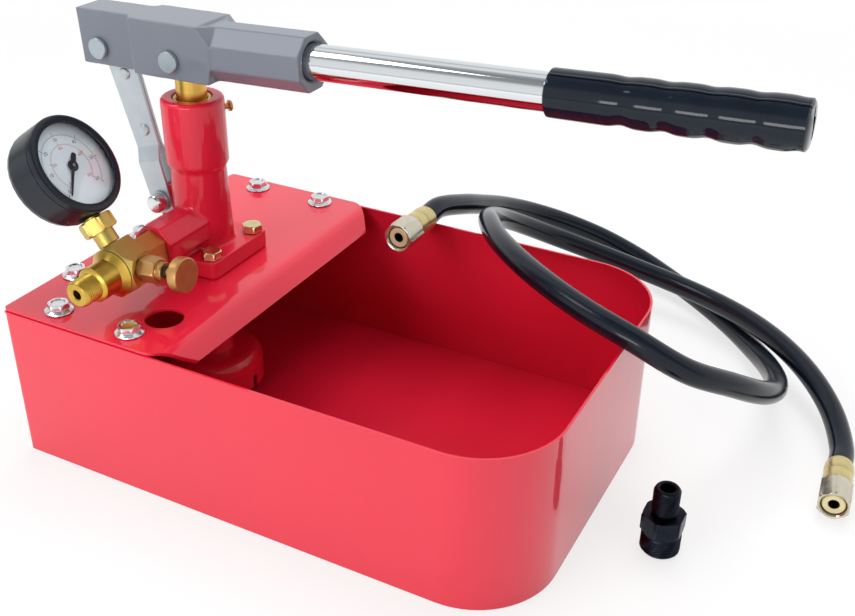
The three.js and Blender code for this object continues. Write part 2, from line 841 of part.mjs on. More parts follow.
// Hexagon valve block, its neck and its spigot in the boss, drilled for gauge, release and outlet
function valveBlock() {
  const corner = blockFlats / 2 / Math.cos(Math.PI / 6);
  const neckEnd = valveOut - bossReach - fit;
  const chamfered = turned([
    [0, -blockFront],
    [blockFaceRadius, -blockFront],
    [corner + weld, -blockFront + blockChamfer],
    [corner + weld, blockBack],
    [0, blockBack],
  ], hexSides * 2);
  const hexagon = solid(hexBar(blockFlats, -blockFront, blockBack)).intersect(solid(chamfered));
  let block = join(
    hexagon,
    solid(hexBar(neckFlats, blockBack - overrun, neckEnd)),
    solid(rod(neckSpigotRadius, neckEnd - overrun, neckEnd + socketDepth - fit, midSides)),
  );
  const chamber = turned([
    [0, -blockFront - overrun],
    [nippleSpigotRadius + fit, -blockFront - overrun],
    [nippleSpigotRadius + fit, -blockFront + nippleSpigot + fit],
    [chamberRadius, -blockFront + nippleSpigot + fit],
    [chamberRadius, chamberBack],
    [blockBoreRadius, chamberBack + chamberRadius - blockBoreRadius],
    [blockBoreRadius, neckEnd + socketDepth + overrun],
    [0, neckEnd + socketDepth + overrun],
  ], midSides);
  block = cut(block, solid(chamber));
  const shape = (geometry) => geometry.applyMatrix4(alongY);
  const release = rod(releaseThreadRadius + fit, 0, blockFlats, midSides).applyMatrix4(alongX);
  const gauge = rod(gaugeThreadRadius + fit, 0, blockFlats, midSides);
  gauge.rotateY(-Math.PI / 6).translate(0, -gaugeForward, 0);
  const spot = rod(spotRadius, blockFlats / 2 - spotDepth, blockFlats, roundSides);
  const laid = shape(geometryOf(block));
  block = cut(solid(laid), solid(release), solid(gauge), solid(spot.applyMatrix4(alongX)));
  return piece("valve_block", dullBrass, block);
}

// The triangles of a solid as a geometry, so that it can be laid another way
function geometryOf(shape) {
  const { vertProperties, triVerts } = shape.getMesh();
  const geometry = new THREE.BufferGeometry();
  geometry.setAttribute("position", new THREE.BufferAttribute(new Float32Array(vertProperties), 3));
  geometry.setIndex(new THREE.BufferAttribute(new Uint32Array(triVerts), 1));
  return geometry;
}

// Turned outlet, screwed into the front of the block
function outletNipple() {
  const start = blockFront + fit;
  const shoulder = start + nippleShoulder;
  const step = shoulder + nippleLength;
  const end = step + nippleStep + nippleEnd;
  const outline = turned([
    [blockBoreRadius, -end],
    [nippleTipRadius - nippleStep, -end],
    [nippleTipRadius, -end + nippleStep],
    [nippleEndRadius, -step - nippleStep],
    [nippleRadius, -step],
    [nippleRadius, -shoulder],
    [nippleShoulderRadius, -start],
    [nippleSpigotRadius, -start],
    [nippleSpigotRadius, -blockFront + nippleSpigot],
    [blockBoreRadius, -blockFront + nippleSpigot],
    [blockBoreRadius, -end],
  ]);
  return piece("outlet_nipple", brass, solid(outline.applyMatrix4(alongY)));
}

const deliveryBallPlace = () => {
  const reach = deliveryBallRadius + fit;
  const depth = Math.sqrt(Math.max(reach ** 2 - blockBoreRadius ** 2, 0));
  return chamberBack + chamberRadius - blockBoreRadius - depth;
};

function deliveryBall() {
  const ball = new THREE.SphereGeometry(deliveryBallRadius, smallSides, smallSides / 2);
  return piece("delivery_ball", steel, solid(ball.translate(0, deliveryBallPlace(), 0)));
}

// Helix between two places on the Y axis
class Coil extends THREE.Curve {
  constructor(radius, from, to, turns) {
    super();
    Object.assign(this, { radius, from, to, turns });
  }
  getPoint(share, target = new THREE.Vector3()) {
    const turn = share * this.turns * Math.PI * 2;
    const along = this.from + (this.to - this.from) * share;
    return target.set(this.radius * Math.cos(turn), along, this.radius * Math.sin(turn));
  }
}

function regular(radius, sides) {
  const points = [];
  for (let i = 0; i < sides; i += 1) {
    const turn = (i / sides) * Math.PI * 2;
    points.push([radius * Math.cos(turn), radius * Math.sin(turn)]);
  }
  return polygon(points);
}

function deliverySpring() {
  const from = -blockFront + nippleSpigot + fit + springWireRadius;
  const clear = deliveryBallRadius + fit + springWireRadius;
  const to = deliveryBallPlace() - deliveryLift - Math.sqrt(clear ** 2 - springRadius ** 2);
  const path = new Coil(springRadius, from, to, springTurns);
  const settings = { steps: springTurns * 8, bevelEnabled: false, extrudePath: path };
  const wire = new THREE.ExtrudeGeometry(regular(springWireRadius, 5), settings);
  return piece("delivery_spring", steel, solid(wire));
}

// The release nut sits on a spot face milled into the side of the block
const releaseFace = () => blockFlats / 2 - spotDepth + fit;

// Hexagon packing nut of the release valve
function releaseBody() {
  const face = releaseFace();
  const hexEnd = face + releaseHex;
  const shape = join(
    turnedHex(releaseFlats, face, hexEnd, releaseFlats / 14),
    solid(rod(releaseNeckRadius, hexEnd - overrun, hexEnd + releaseNeck, midSides)),
    solid(rod(releaseThreadRadius, face - fit - releaseThread, face + overrun, midSides)),
  );
  const bore = rod(spindleRadius + fit, 0, hexEnd + releaseNeck + overrun, smallSides);
  const laid = geometryOf(cut(shape, solid(bore))).applyMatrix4(alongX);
  return piece("release_body", dullBrass, solid(laid));
}

function releaseSealRing() {
  const from = releaseFace() + releaseHex + releaseNeck + fit;
  const ring = tube(spindleRadius + fit, releaseSealRadius, from, from + releaseSeal, midSides);
  return piece("release_seal", blackRubber, solid(ring.applyMatrix4(alongX)));
}

const knobStart = () => releaseFace() + releaseHex + releaseNeck + spindleShow;

function releaseSpindle() {
  const from = blockFlats / 2 - releaseThread;
  const to = knobStart() + knobHole - fit;
  const outline = turned([
    [0, from], [spindleRadius, from + spindleTip], [spindleRadius, to], [0, to],
  ], smallSides);
  return piece("release_spindle", brass, solid(outline.applyMatrix4(alongX)));
}

// Round knob with broken edges
function releaseKnob() {
  const start = knobStart();
  const end = start + knobDepth;
  const inner = spindleRadius + fit;
  const outline = turned([
    [inner, start],
    [knobRadius - knobChamfer, start],
    [knobRadius, start + knobChamfer],
    [knobRadius, end - knobChamfer],
    [knobRadius - knobChamfer, end],
    [0, end],
    [0, start + knobHole],
    [inner, start + knobHole],
    [inner, start],
  ]);
  return piece("release_knob", brass, solid(outline.applyMatrix4(alongX)));
}

// Brass nut between the block and the gauge
function gaugeNutPiece() {
  const face = blockFlats / 2 + fit;
  const neckTop = face + gaugeNeck;
  const top = neckTop + gaugeNut;
  const shape = join(
    turnedHex(gaugeNutFlats, neckTop, top, gaugeNutFlats / 14),
    solid(rod(gaugeNeckRadius, face, neckTop + overrun, midSides)),
    solid(rod(gaugeThreadRadius, face - fit - gaugeThread, face + overrun, midSides)),
  );
  const seat = rod(stemRadius + fit, top - stemSeat, top + overrun, midSides);
  const bore = rod(gaugeThreadRadius / 2, 0, top, smallSides);
  return piece("gauge_nut", brass, cut(shape, solid(seat), solid(bore)));
}

// Gauge stem with the block inside the case that carries the curved tube and the movement
function gaugeStem() {
  const from = blockFlats / 2 + gaugeNeck + gaugeNut + fit * 2 - stemSeat;
  const floor = gaugeCentre - gaugeRadius + caseWall;
  const top = floor + stemBlockTop;
  const half = stemBlock / 2;
  const shape = join(
    solid(rod(stemRadius, from, floor + overrun, midSides)),
    solid(box(-half, half, -half, half, floor + stemBlockLift, top)),
  );
  return piece("gauge_stem", brass, shape);
}

// Stamped case, open in front, with a hole for the stem
function gaugeCase() {
  const rear = gaugeFront - gaugeDepth;
  const front = gaugeFront - bezelDepth;
  const outline = turned([
    [0, rear],
    [gaugeRadius - caseRound, rear],
    [gaugeRadius - caseRound / 4, rear + caseRound / 4],
    [gaugeRadius, rear + caseRound],
    [gaugeRadius, front],
    [gaugeRadius - caseWall, front],
    [gaugeRadius - caseWall, rear + caseRound],
    [gaugeRadius - caseRound, rear + caseWall],
    [0, rear + caseWall],
  ]);
  const cup = solid(outline.applyMatrix4(alongX).translate(0, 0, gaugeCentre));
  const hole = rod(stemRadius + fit, 0, gaugeCentre - gaugeRadius + caseRound, midSides);
  return piece("gauge_case", blackPaint, cut(cup, solid(hole)));
}

function gaugeBezel() {
  const rear = gaugeFront - bezelDepth + fit;
  const lensFront = gaugeFront - lensRecess;
  const outline = turned([
    [gaugeRadius - caseWall, rear],
    [gaugeRadius, rear],
    [gaugeRadius, gaugeFront - caseWall],
    [gaugeRadius - caseWall, gaugeFront],
    [bezelInnerRadius, gaugeFront],
    [bezelInnerRadius, lensFront + fit],
    [gaugeRadius - caseWall, lensFront + fit],
    [gaugeRadius - caseWall, rear],
  ]);
  const ring = outline.applyMatrix4(alongX).translate(0, 0, gaugeCentre);
  return piece("gauge_bezel", blackPaint, solid(ring));
}

function gaugeLens() {
  const front = gaugeFront - lensRecess;
  const disc = rod(gaugeRadius - caseWall - fit, front - lensThickness, front);
  return piece("gauge_lens", clearGlass, solid(disc.applyMatrix4(alongX).translate(0, 0, gaugeCentre)));
}

function gaugeDial() {
  const front = gaugeFront - dialDepth;
  const disc = tube(arborRadius + fit, gaugeRadius - caseWall - fit, front - dialThickness, front);
  return piece("gauge_dial", whiteCard, solid(disc.applyMatrix4(alongX).translate(0, 0, gaugeCentre)));
}

// Needle with its hub and the arbor that passes through the dial
function gaugeNeedle() {
  const front = gaugeFront - needleDepth;
  const rear = front - needleThickness;
  const half = needleWidth / 2;
  const blade = polygon([
    [-half, -needleTail], [half, -needleTail], [half, 0], [half / 4, needleLength],
    [-half / 4, needleLength], [-half, 0],
  ]);
  const arborRear = gaugeFront - dialDepth - dialThickness - movementDepth / 2;
  const shape = join(
    solid(extruded(blade, rear, front)),
    solid(rod(needleHubRadius, rear, rear + needleHub, smallSides)),
    solid(rod(arborRadius, arborRear, front, smallSides)),
  );
  const needle = piece("gauge_needle", blackPaint, solid(
    geometryOf(shape).applyMatrix4(acrossX).rotateX(-needleTurn),
  ));
  needle.position.z = gaugeCentre;
  return needle;
}

// Plates and gears behind the dial, as one block on the stem
function gaugeMovement() {
  const front = gaugeFront - dialDepth - dialThickness - fit;
  const low = gaugeCentre - gaugeRadius + caseWall + stemBlockTop + fit;
  const half = movementWidth / 2;
  const top = Math.max(gaugeCentre + movementHeight / 2, low + movementHeight);
  const block = solid(box(front - movementDepth, front, -half, half, low, top));
  const bore = rod(arborRadius + fit, front - movementDepth, front + overrun, smallSides);
  bore.applyMatrix4(alongX).translate(0, 0, gaugeCentre);
  return piece("gauge_movement", dullBrass, cut(block, solid(bore)));
}

// Curved pressure tube, from the side of the stem block nearly all the way round
class Bow extends THREE.Curve {
  getPoint(share, target = new THREE.Vector3()) {
    const start = Math.asin((stemBlock / 2 + fit) / (bourdonRadius - bourdonThick));
    const turn = start + share * bourdonTurn;
    const middle = gaugeFront - gaugeDepth / 2 - dialDepth;
    return target.set(
      middle, bourdonRadius * Math.sin(turn), gaugeCentre - bourdonRadius * Math.cos(turn),
    );
  }
}

function bourdonTube() {
  const section = polygon([
    [-bourdonThick / 2, -bourdonWide / 2], [bourdonThick / 2, -bourdonWide / 2],
    [bourdonThick / 2, bourdonWide / 2], [-bourdonThick / 2, bourdonWide / 2],
  ]);
  const settings = { steps: bourdonSteps, bevelEnabled: false, extrudePath: new Bow() };
  return piece("gauge_pressure_tube", brass, solid(new THREE.ExtrudeGeometry(section, settings)));
}

// Side view of the cast lever head: its block, with the slope down to the handle's socket
function headSide() {
  const bottomAt = (along) => {
    const share = (along + headRear) / (headFront + headRear);
    return -headBottomRear - (headBottomFront - headBottomRear) * share;
  };
  return polygon([
    [-headRear, bottomAt(-headRear)],
    [headFront - headSlopeRun / 3, bottomAt(headFront)],
    [headFront, headTopFront - headSlope - headBottomRear],
    [headFront, headTopFront - headSlope],
    [headFront - headSlopeRun, headTopFront],
    [-headRear, headTopRear],
  ]);
}

// Plan of the lever head: a narrow rear part that flares into the wide front block
function headPlan() {
  const shape = new THREE.Shape();
  const radius = headRearCorner;
  const flare = headFrontHalf - headRearHalf;
  const fillet = Math.min(headFlareRadius, flare);
  const side = (sign) => {
    const points = [];
    for (let i = 0; i <= arcSteps / 2; i += 1) {
      const turn = (i / (arcSteps / 2)) * (Math.PI / 2);
      points.push([
        headFlare - fillet + fillet * Math.sin(turn),
        sign * (headRearHalf + fillet - fillet * Math.cos(turn)),
      ]);
    }
    return points;
  };
  shape.moveTo(-headRear + radius, -headRearHalf);
  for (const [x, y] of side(-1)) shape.lineTo(x, y);
  shape.lineTo(headFlare + headRearHalf / 4, -headFrontHalf);
  shape.lineTo(headFront + overrun, -headFrontHalf);
  shape.lineTo(headFront + overrun, headFrontHalf);
  shape.lineTo(headFlare + headRearHalf / 4, headFrontHalf);
  for (const [x, y] of side(1).reverse()) shape.lineTo(x, y);
  shape.lineTo(-headRear + radius, headRearHalf);
  shape.absarc(-headRear + radius, headRearHalf - radius, radius, Math.PI / 2, Math.PI);
  shape.lineTo(-headRear, -headRearHalf + radius);
  shape.absarc(-headRear + radius, -headRearHalf + radius, radius, Math.PI, Math.PI * 1.5);
  return shape;
}

function leverHead() {
  const low = -headBottomFront - headBottomRear;
  const high = headTopRear + overrun;
  const corner = socketFlats / 2 / Math.cos(Math.PI / 8);
  const octagon = new THREE.CylinderGeometry(corner, corner, socketReach - headFront / 2, 8);
  octagon.rotateY(Math.PI / 8).rotateZ(-Math.PI / 2);
  octagon.translate((socketReach + headFront / 2) / 2, 0, tubeAxis - socketDrop);
  const half = headFrontHalf + overrun;
  let head = solid(sideways(headSide(), -half, half));
  head = head.intersect(solid(extruded(headPlan(), low, high)));
  const socketStart = headFront - headSlopeRun;
  const trimmed = solid(octagon).intersect(
    solid(box(socketStart, socketReach, -socketFlats, socketFlats, -socketFlats, socketFlats)),
  );
  head = join(head, trimmed);
  const tubeStart = socketReach - tubeSeat;
  const bore = turned([
    [0, tubeStart],
    [tubeRadius + fit, tubeStart],
    [tubeRadius + fit, socketReach - tubeMouth],
    [tubeRadius + fit + tubeMouth, socketReach],
    [tubeRadius + fit + tubeMouth, socketReach + overrun],
    [0, socketReach + overrun],
  ]);
  const cavity = box(frontPinAlong - cavityBehind, frontPinAlong + cavityRadius,
    -cavityHalf, cavityHalf, low, cavityRadius - frontPinDrop);
  const slot = box(-headRear - overrun, frontPinAlong, -slotHalf, slotHalf,
    low, strapTopRadius + fit * 3);
  const crossHole = (along, up) => {
    const hole = rod(pinRadius + fit, -half, half, midSides).applyMatrix4(alongY);
    return solid(hole.translate(along, 0, up));
  };
  head = cut(
    head,
    solid(bore.applyMatrix4(alongX).translate(0, 0, tubeAxis)),
    solid(cavity),
    solid(slot),
    crossHole(0, 0),
    crossHole(frontPinAlong, -frontPinDrop),
  );
  return piece("lever_head", greyPaint, head);
}

// Pin with a head at each end
function leverPin(name, half, along, up) {
  const seat = half + fit;
  const outline = turned([
    [0, -seat - pinHead],
    [pinHeadRadius, -seat - pinHead],
    [pinHeadRadius, -seat],
    [pinRadius, -seat],
    [pinRadius, seat],
    [pinHeadRadius, seat],
    [pinHeadRadius, seat + pinHead],
    [0, seat + pinHead],
  ], midSides);
  const pin = piece(name, zinc, solid(outline.applyMatrix4(alongY)));
  pin.position.set(along, 0, up);
  return pin;
}

function handleTube() {
  const from = socketReach - tubeSeat + fit;
  const to = gripStart + gripLength - gripFloor - fit;
  const pipe = tube(tubeRadius - tubeWall, tubeRadius, from, to);
  return piece("handle_tube", chrome, solid(pipe.applyMatrix4(alongX).translate(0, 0, tubeAxis)));
}

// A closed skin over a row of rings with the same number of points
function lofted(rings) {
  const sides = rings[0].length;
  const positions = rings.flat().flat();
  const centreOf = (ring) =>
    [0, 1, 2].map((axis) => ring.reduce((sum, point) => sum + point[axis], 0) / sides);
  positions.push(...centreOf(rings[0]), ...centreOf(rings[rings.length - 1]));
  const first = rings.length * sides;
  const index = [];
  for (let ring = 0; ring + 1 < rings.length; ring += 1) {
    for (let i = 0; i < sides; i += 1) {
      const a = ring * sides + i;
      const b = ring * sides + ((i + 1) % sides);
      index.push(a, b, a + sides, b, b + sides, a + sides);
    }
  }
  for (let i = 0; i < sides; i += 1) {
    const next = (i + 1) % sides;
    const last = (rings.length - 1) * sides;
    index.push(first, next, i);
    index.push(first + 1, last + i, last + next);
  }
  const geometry = new THREE.BufferGeometry();
  geometry.setAttribute("position", new THREE.Float32BufferAttribute(positions, 3));
  geometry.setIndex(index);
  return geometry;
}

// Moulded grip, pinched in between the fingers and deeper so along its lower side
function handleGrip() {
  const rings = [];
  for (let ring = 0; ring <= gripRings; ring += 1) {
    const share = ring / gripRings;
    const along = share * gripLength;
    const plain = gripStartRadius + (gripEndRadius - gripStartRadius) * share;
    const fromEnd = Math.min(along, gripLength - along);
    const rounded = fromEnd < gripRound ? gripRound - fromEnd : 0;
    const phase = (along - gripWaveStart) / gripWaveLength;
    const pinch = phase > 0.5 ? Math.cos(Math.PI * phase) ** 4 : 0;
    const points = [];
    for (let i = 0; i < gripSides; i += 1) {
      const turn = (i / gripSides) * Math.PI * 2;
      const lower = Math.max(0, -Math.cos(turn));
      const radius = plain - rounded - gripWaveDepth * pinch * (1 + lower) / 2;
      points.push([gripStart + along, radius * Math.sin(turn), tubeAxis + radius * Math.cos(turn)]);
    }
    rings.push(points.reverse());
  }
  const to = gripStart + gripLength - gripFloor;
  const bore = rod(tubeRadius + fit, gripStart - overrun, to).applyMatrix4(alongX);
  const shape = cut(solid(lofted(rings)), solid(bore.translate(0, 0, tubeAxis)));
  return piece("handle_grip", blackRubber, shape);
}

// Outline of one strap: its rear edge runs beside the pins, its front edge widens to the top
function strapOutline() {
  const shape = new THREE.Shape();
  const low = -strapLowReach;
  const corner = strapLowCorner;
  shape.moveTo(-strapLowHalf, low + corner);
  shape.absarc(corner - strapLowHalf, low + corner, corner, Math.PI, Math.PI * 1.5);
  shape.lineTo(strapLowHalf - corner, low);
  shape.absarc(strapLowHalf - corner, low + corner, corner, Math.PI * 1.5, Math.PI * 2);
  shape.lineTo(strapTopFront, linkLength - rivetBelowPin);
  shape.lineTo(strapTopRadius * Math.cos(Math.PI / 8), linkLength + strapTopRadius * Math.sin(Math.PI / 8));
  shape.absarc(0, linkLength, strapTopRadius, Math.PI / 8, (Math.PI * 7) / 9);
  shape.lineTo(-strapLowHalf, linkLength - strapTopRadius / 2);
  return shape;
}

// One strap of the pair, joggled outward round the lug; the side is -1 for the near one
function linkStrap(name, side) {
  const upper = fit;
  const lower = lugThickness / 2 + fit;
  const below = -strapLowReach - overrun;
  const above = linkLength + strapTopRadius + overrun;
  const section = polygon([
    [side * lower, below],
    [side * (lower + strapThickness), below],
    [side * (lower + strapThickness), joggleStart],
    [side * (upper + strapThickness), joggleEnd],
    [side * (upper + strapThickness), above],
    [side * upper, above],
    [side * upper, joggleEnd],
    [side * lower, joggleStart],
  ]);
  const reach = strapTopFront + overrun;
  const bent = solid(extruded(section, -reach, reach).applyMatrix4(acrossX));
  const flat = solid(sideways(strapOutline(), -tankWidth, tankWidth));
  const hole = (radius, along, up) => {
    const drill = rod(radius, -tankWidth, tankWidth, midSides).applyMatrix4(alongY);
    return solid(drill.translate(along, 0, up));
  };
  const shape = cut(
    bent.intersect(flat),
    hole(linkPinRadius + fit, 0, 0),
    hole(pinRadius + fit, 0, linkLength),
    hole(rivetRadius + fit, rivetOffset, rivetLow),
    hole(rivetRadius + fit, rivetOffset, linkLength - rivetBelowPin),
  );
  return piece(name, steel, shape);
}

function linkRivet(name, up) {
  const seat = strapThickness + fit * 2;
  const outline = turned([
    [0, -seat - rivetHead],
    [rivetHeadRadius * 0.7, -seat - rivetHead],
    [rivetHeadRadius, -seat],
    [rivetRadius, -seat],
    [rivetRadius, seat],
    [rivetHeadRadius, seat],
    [rivetHeadRadius * 0.7, seat + rivetHead],
    [0, seat + rivetHead],
  ], smallSides);
  const rivet = piece(name, steel, solid(outline.applyMatrix4(alongY)));
  rivet.position.set(rivetOffset, 0, up);
  return rivet;
}

const strapOuter = () => lugThickness / 2 + fit + strapThickness;

// Pin through the lug: its long rounded head is on the near side, over a washer
function linkPin() {
  const near = -(strapOuter() + linkWasher + fit * 2);
  const far = strapOuter() + fit;
  const tip = near - linkPinHead;
  const outline = turned([
    [0, tip],
    [linkPinHeadRadius - linkPinChamfer, tip],
    [linkPinHeadRadius, tip + linkPinChamfer],
    [linkPinHeadRadius, near],
    [linkPinRadius, near],
    [linkPinRadius, far],
    [linkPinHeadRadius, far],
    [linkPinHeadRadius, far + linkPinTail],
    [0, far + linkPinTail],
  ], midSides);
  const pin = piece("link_pin", zinc, solid(outline.applyMatrix4(alongY)));
  pin.position.set(lugX, 0, lugZ);
  return pin;
}

function linkWasherRing() {
  const seat = -(strapOuter() + fit);
  const ring = tube(linkPinRadius + fit, linkWasherRadius, seat - linkWasher, seat, midSides);
  const washer = piece("link_washer", steel, solid(ring.applyMatrix4(alongY)));
  washer.position.set(lugX, 0, lugZ);
  return washer;
}

// Plunger rod: its eye takes the front pin, its foot carries the seal
function plungerRod() {
  const top = frontPinHeight + plungerTop;
  const neckTop = plungerBottom + pistonFoot + pistonSealLength;
  const outline = turned([
    [0, plungerBottom],
    [plungerRadius - fit, plungerBottom],
    [plungerRadius - fit, plungerBottom + pistonFoot],
    [pistonNeckRadius, plungerBottom + pistonFoot],
    [pistonNeckRadius, neckTop],
    [plungerRadius, neckTop],
    [plungerRadius, top - plungerChamfer],
    [plungerRadius - plungerChamfer, top],
    [0, top],
  ]);
  const eye = rod(eyeRadius, -plungerRadius - overrun, plungerRadius + overrun, midSides);
  eye.applyMatrix4(alongY).translate(0, 0, frontPinHeight);
  const plunger = piece("plunger_rod", brass, cut(solid(outline), solid(eye)));
  plunger.position.x = pumpX;
  return plunger;
}

function plungerSeal() {
  const from = plungerBottom + pistonFoot + fit;
  const ring = tube(pistonNeckRadius + fit, pistonSealRadius, from, from + pistonSealLength - fit * 2);
  return piece("plunger_seal", blackRubber, solid(ring.translate(pumpX, 0, 0)));
}

function hoseTube() {
  const path = new THREE.CatmullRomCurve3(hoseRoute.map((point) => new THREE.Vector3(...point)));
  const settings = { steps: hoseSteps, bevelEnabled: false, extrudePath: path };
  const section = regular(hoseRadius, hoseSides);
  return piece("hose_tube", blackRubber, solid(new THREE.ExtrudeGeometry(section, settings)));
}

// Swivel nut of a hose end, in a frame whose X axis runs from the open face to the hose
function hoseNut(name) {
  const bore = turned([
    [0, -overrun],
    [nutBoreRadius, -overrun],
    [nutBoreRadius, nutLength - nutShoulder],
    [tailNeckRadius + fit, nutLength - nutShoulder],
    [tailNeckRadius + fit, nutLength + overrun],
    [0, nutLength + overrun],
  ], midSides);
  const shape = cut(turnedHex(nutFlats, 0, nutLength, nutChamfer), solid(bore));
  return piece(name, zinc, solid(geometryOf(shape).applyMatrix4(alongX)));
}

// Drilled tail: its coned head seals on the outlet, its neck goes into the hose
function hoseTail(name) {
  const headEnd = nutLength - nutShoulder - fit;
  const end = nutLength + ferruleLength - fit;
  const outline = turned([
    [tailBoreRadius, tailRecess],
    [tailHeadRadius - tailCone, tailRecess],
    [tailHeadRadius, tailRecess + tailCone],
    [tailHeadRadius, headEnd],
    [tailNeckRadius, headEnd],
    [tailNeckRadius, end],
    [tailBoreRadius, end],
    [tailBoreRadius, tailRecess],
  ], midSides);
  return piece(name, yellowZinc, solid(outline.applyMatrix4(alongX)));
}

// Crimped ferrule with two bands
function hoseFerrule(name) {
  const from = nutLength + fit;
  const to = nutLength + ferruleLength;
  const span = to - from;
  const low = ferruleRadius - ferruleWaist;
  const outline = turned([
    [tailNeckRadius + fit, from],
    [low, from],
    [ferruleRadius, from + span / 8],
    [ferruleRadius, from + (span * 3) / 8],
    [low, from + span / 2],
    [ferruleRadius, from + (span * 5) / 8],
    [ferruleRadius, from + (span * 7) / 8],
    [low, to],
    [tailNeckRadius + fit, to],
    [tailNeckRadius + fit, from],
  ], midSides);
  return piece(name, yellowZinc, solid(outline.applyMatrix4(alongX)));
}

function hoseEnd(number, face, axis, nutTurn) {
  const end = new THREE.Group();
  end.position.copy(face);
  end.quaternion.setFromUnitVectors(new THREE.Vector3(1, 0, 0), axis);
  const nut = hoseNut("hose_nut_" + number);
  nut.rotation.x = nutTurn;
  end.add(
    nut,
    hoseTail("hose_tail_" + number),
    hoseFerrule("hose_ferrule_" + number),
  );
  return end;
}

// Threaded adapter, drilled through
function hoseAdapter() {
  const hexTop = adapterLow + adapterHex;
  const top = hexTop + adapterTop;
  const low = turned([
    [0, 0], [adapterLowRadius - adapterChamfer, 0], [adapterLowRadius, adapterChamfer],
    [adapterLowRadius, adapterLow + overrun], [0, adapterLow + overrun],
  ]);
  const high = turned([
    [0, hexTop - overrun], [adapterTopRadius, hexTop - overrun],
    [adapterTopRadius, top - adapterChamfer], [adapterTopRadius - adapterChamfer, top], [0, top],
  ]);
  const shape = cut(
    join(solid(low), turnedHex(adapterFlats, adapterLow, hexTop, adapterFlats / 16), solid(high)),
    solid(rod(adapterBoreRadius, -overrun, top + overrun, midSides)),
  );
  const adapter = piece("hose_adapter", blackPaint, shape);
  adapter.position.set(adapterX, adapterY, 0);
  return adapter;
}

const pump = new THREE.Group();
pump.add(tankShell(), coverPlate());
plateBoltPlaces().forEach(([x, y], i) => pump.add(plateBolt("plate_bolt_" + (i + 1), x, y, i)));
pump.add(pumpBody(), glandNut(), glandPacking(), bleedScrew());
baseBoltPlaces().forEach(([x, y], i) => pump.add(baseBolt("base_bolt_" + (i + 1), x, y, i + 1)));
pump.add(suctionTube(), suctionStrainer(), suctionBall());
pump.add(plungerRod(), plungerSeal(), linkPin(), linkWasherRing());

const valve = new THREE.Group();
valve.position.set(pumpX, -valveOut, valveHeight);
valve.rotation.y = -valveTurn;
valve.add(valveBlock(), outletNipple(), deliveryBall(), deliverySpring());
valve.add(releaseBody(), releaseSealRing(), releaseSpindle(), releaseKnob());
pump.add(valve);

const gauge = new THREE.Group();
gauge.position.y = -gaugeForward;
gauge.rotation.set(0, -Math.PI / 6, gaugeSwing);
gauge.add(gaugeNutPiece(), gaugeStem(), gaugeCase(), gaugeBezel(), gaugeLens(), gaugeDial());
gauge.add(gaugeNeedle(), gaugeMovement(), bourdonTube());
valve.add(gauge);

const link = new THREE.Group();
link.position.set(lugX, 0, lugZ);
link.rotation.y = -linkTilt;
link.add(linkStrap("link_strap_near", -1), linkStrap("link_strap_far", 1));
link.add(linkRivet("link_rivet_lower", rivetLow));
link.add(linkRivet("link_rivet_upper", linkLength - rivetBelowPin));
pump.add(link);

const lever = new THREE.Group();
lever.position.set(rearPinX, 0, rearPinHeight);
lever.rotation.y = -leverTilt;
lever.add(leverHead(), leverPin("rear_pin", headRearHalf, 0, 0));
lever.add(leverPin("front_pin", headFrontHalf, frontPinAlong, -frontPinDrop));
lever.add(handleTube(), handleGrip());
pump.add(lever);

pump.add(hoseTube());
pump.add(hoseEnd(1, firstFace, firstAxis, 0), hoseEnd(2, secondFace, secondAxis, secondNutTurn));
pump.add(hoseAdapter());

export default pump;
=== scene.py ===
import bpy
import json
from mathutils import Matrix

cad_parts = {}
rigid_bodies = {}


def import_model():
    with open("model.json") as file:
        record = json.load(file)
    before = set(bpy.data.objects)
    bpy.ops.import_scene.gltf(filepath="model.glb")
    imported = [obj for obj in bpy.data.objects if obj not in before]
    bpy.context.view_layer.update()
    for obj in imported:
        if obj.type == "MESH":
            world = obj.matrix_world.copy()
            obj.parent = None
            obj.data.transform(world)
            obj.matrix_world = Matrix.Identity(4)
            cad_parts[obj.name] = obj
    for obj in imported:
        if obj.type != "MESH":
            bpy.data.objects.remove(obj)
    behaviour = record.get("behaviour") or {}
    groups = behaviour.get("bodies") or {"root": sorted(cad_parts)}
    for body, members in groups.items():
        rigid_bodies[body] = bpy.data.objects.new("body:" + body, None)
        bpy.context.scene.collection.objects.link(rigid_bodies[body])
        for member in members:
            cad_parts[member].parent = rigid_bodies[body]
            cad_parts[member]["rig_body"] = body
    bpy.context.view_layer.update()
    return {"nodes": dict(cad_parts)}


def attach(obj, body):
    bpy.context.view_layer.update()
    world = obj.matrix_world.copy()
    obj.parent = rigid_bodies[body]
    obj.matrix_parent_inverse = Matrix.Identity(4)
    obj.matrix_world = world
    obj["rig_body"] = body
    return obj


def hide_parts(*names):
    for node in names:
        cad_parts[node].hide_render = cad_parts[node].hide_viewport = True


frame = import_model()

import json
from math import atan2, cos, hypot, pi, radians, sin
import bmesh
import bpy
from mathutils import Matrix, Vector


# Camera: a product photographer's view from above the near side, a little left of the middle.
# The focal length is 1120.8 pixels in the photograph's 855, on a sensor 36 mm wide.
def placed(name, data):
    """An object in the scene that carries this mesh, curve, lamp or camera."""
    made = bpy.data.objects.new(name, data)
    bpy.context.scene.collection.objects.link(made)
    return made


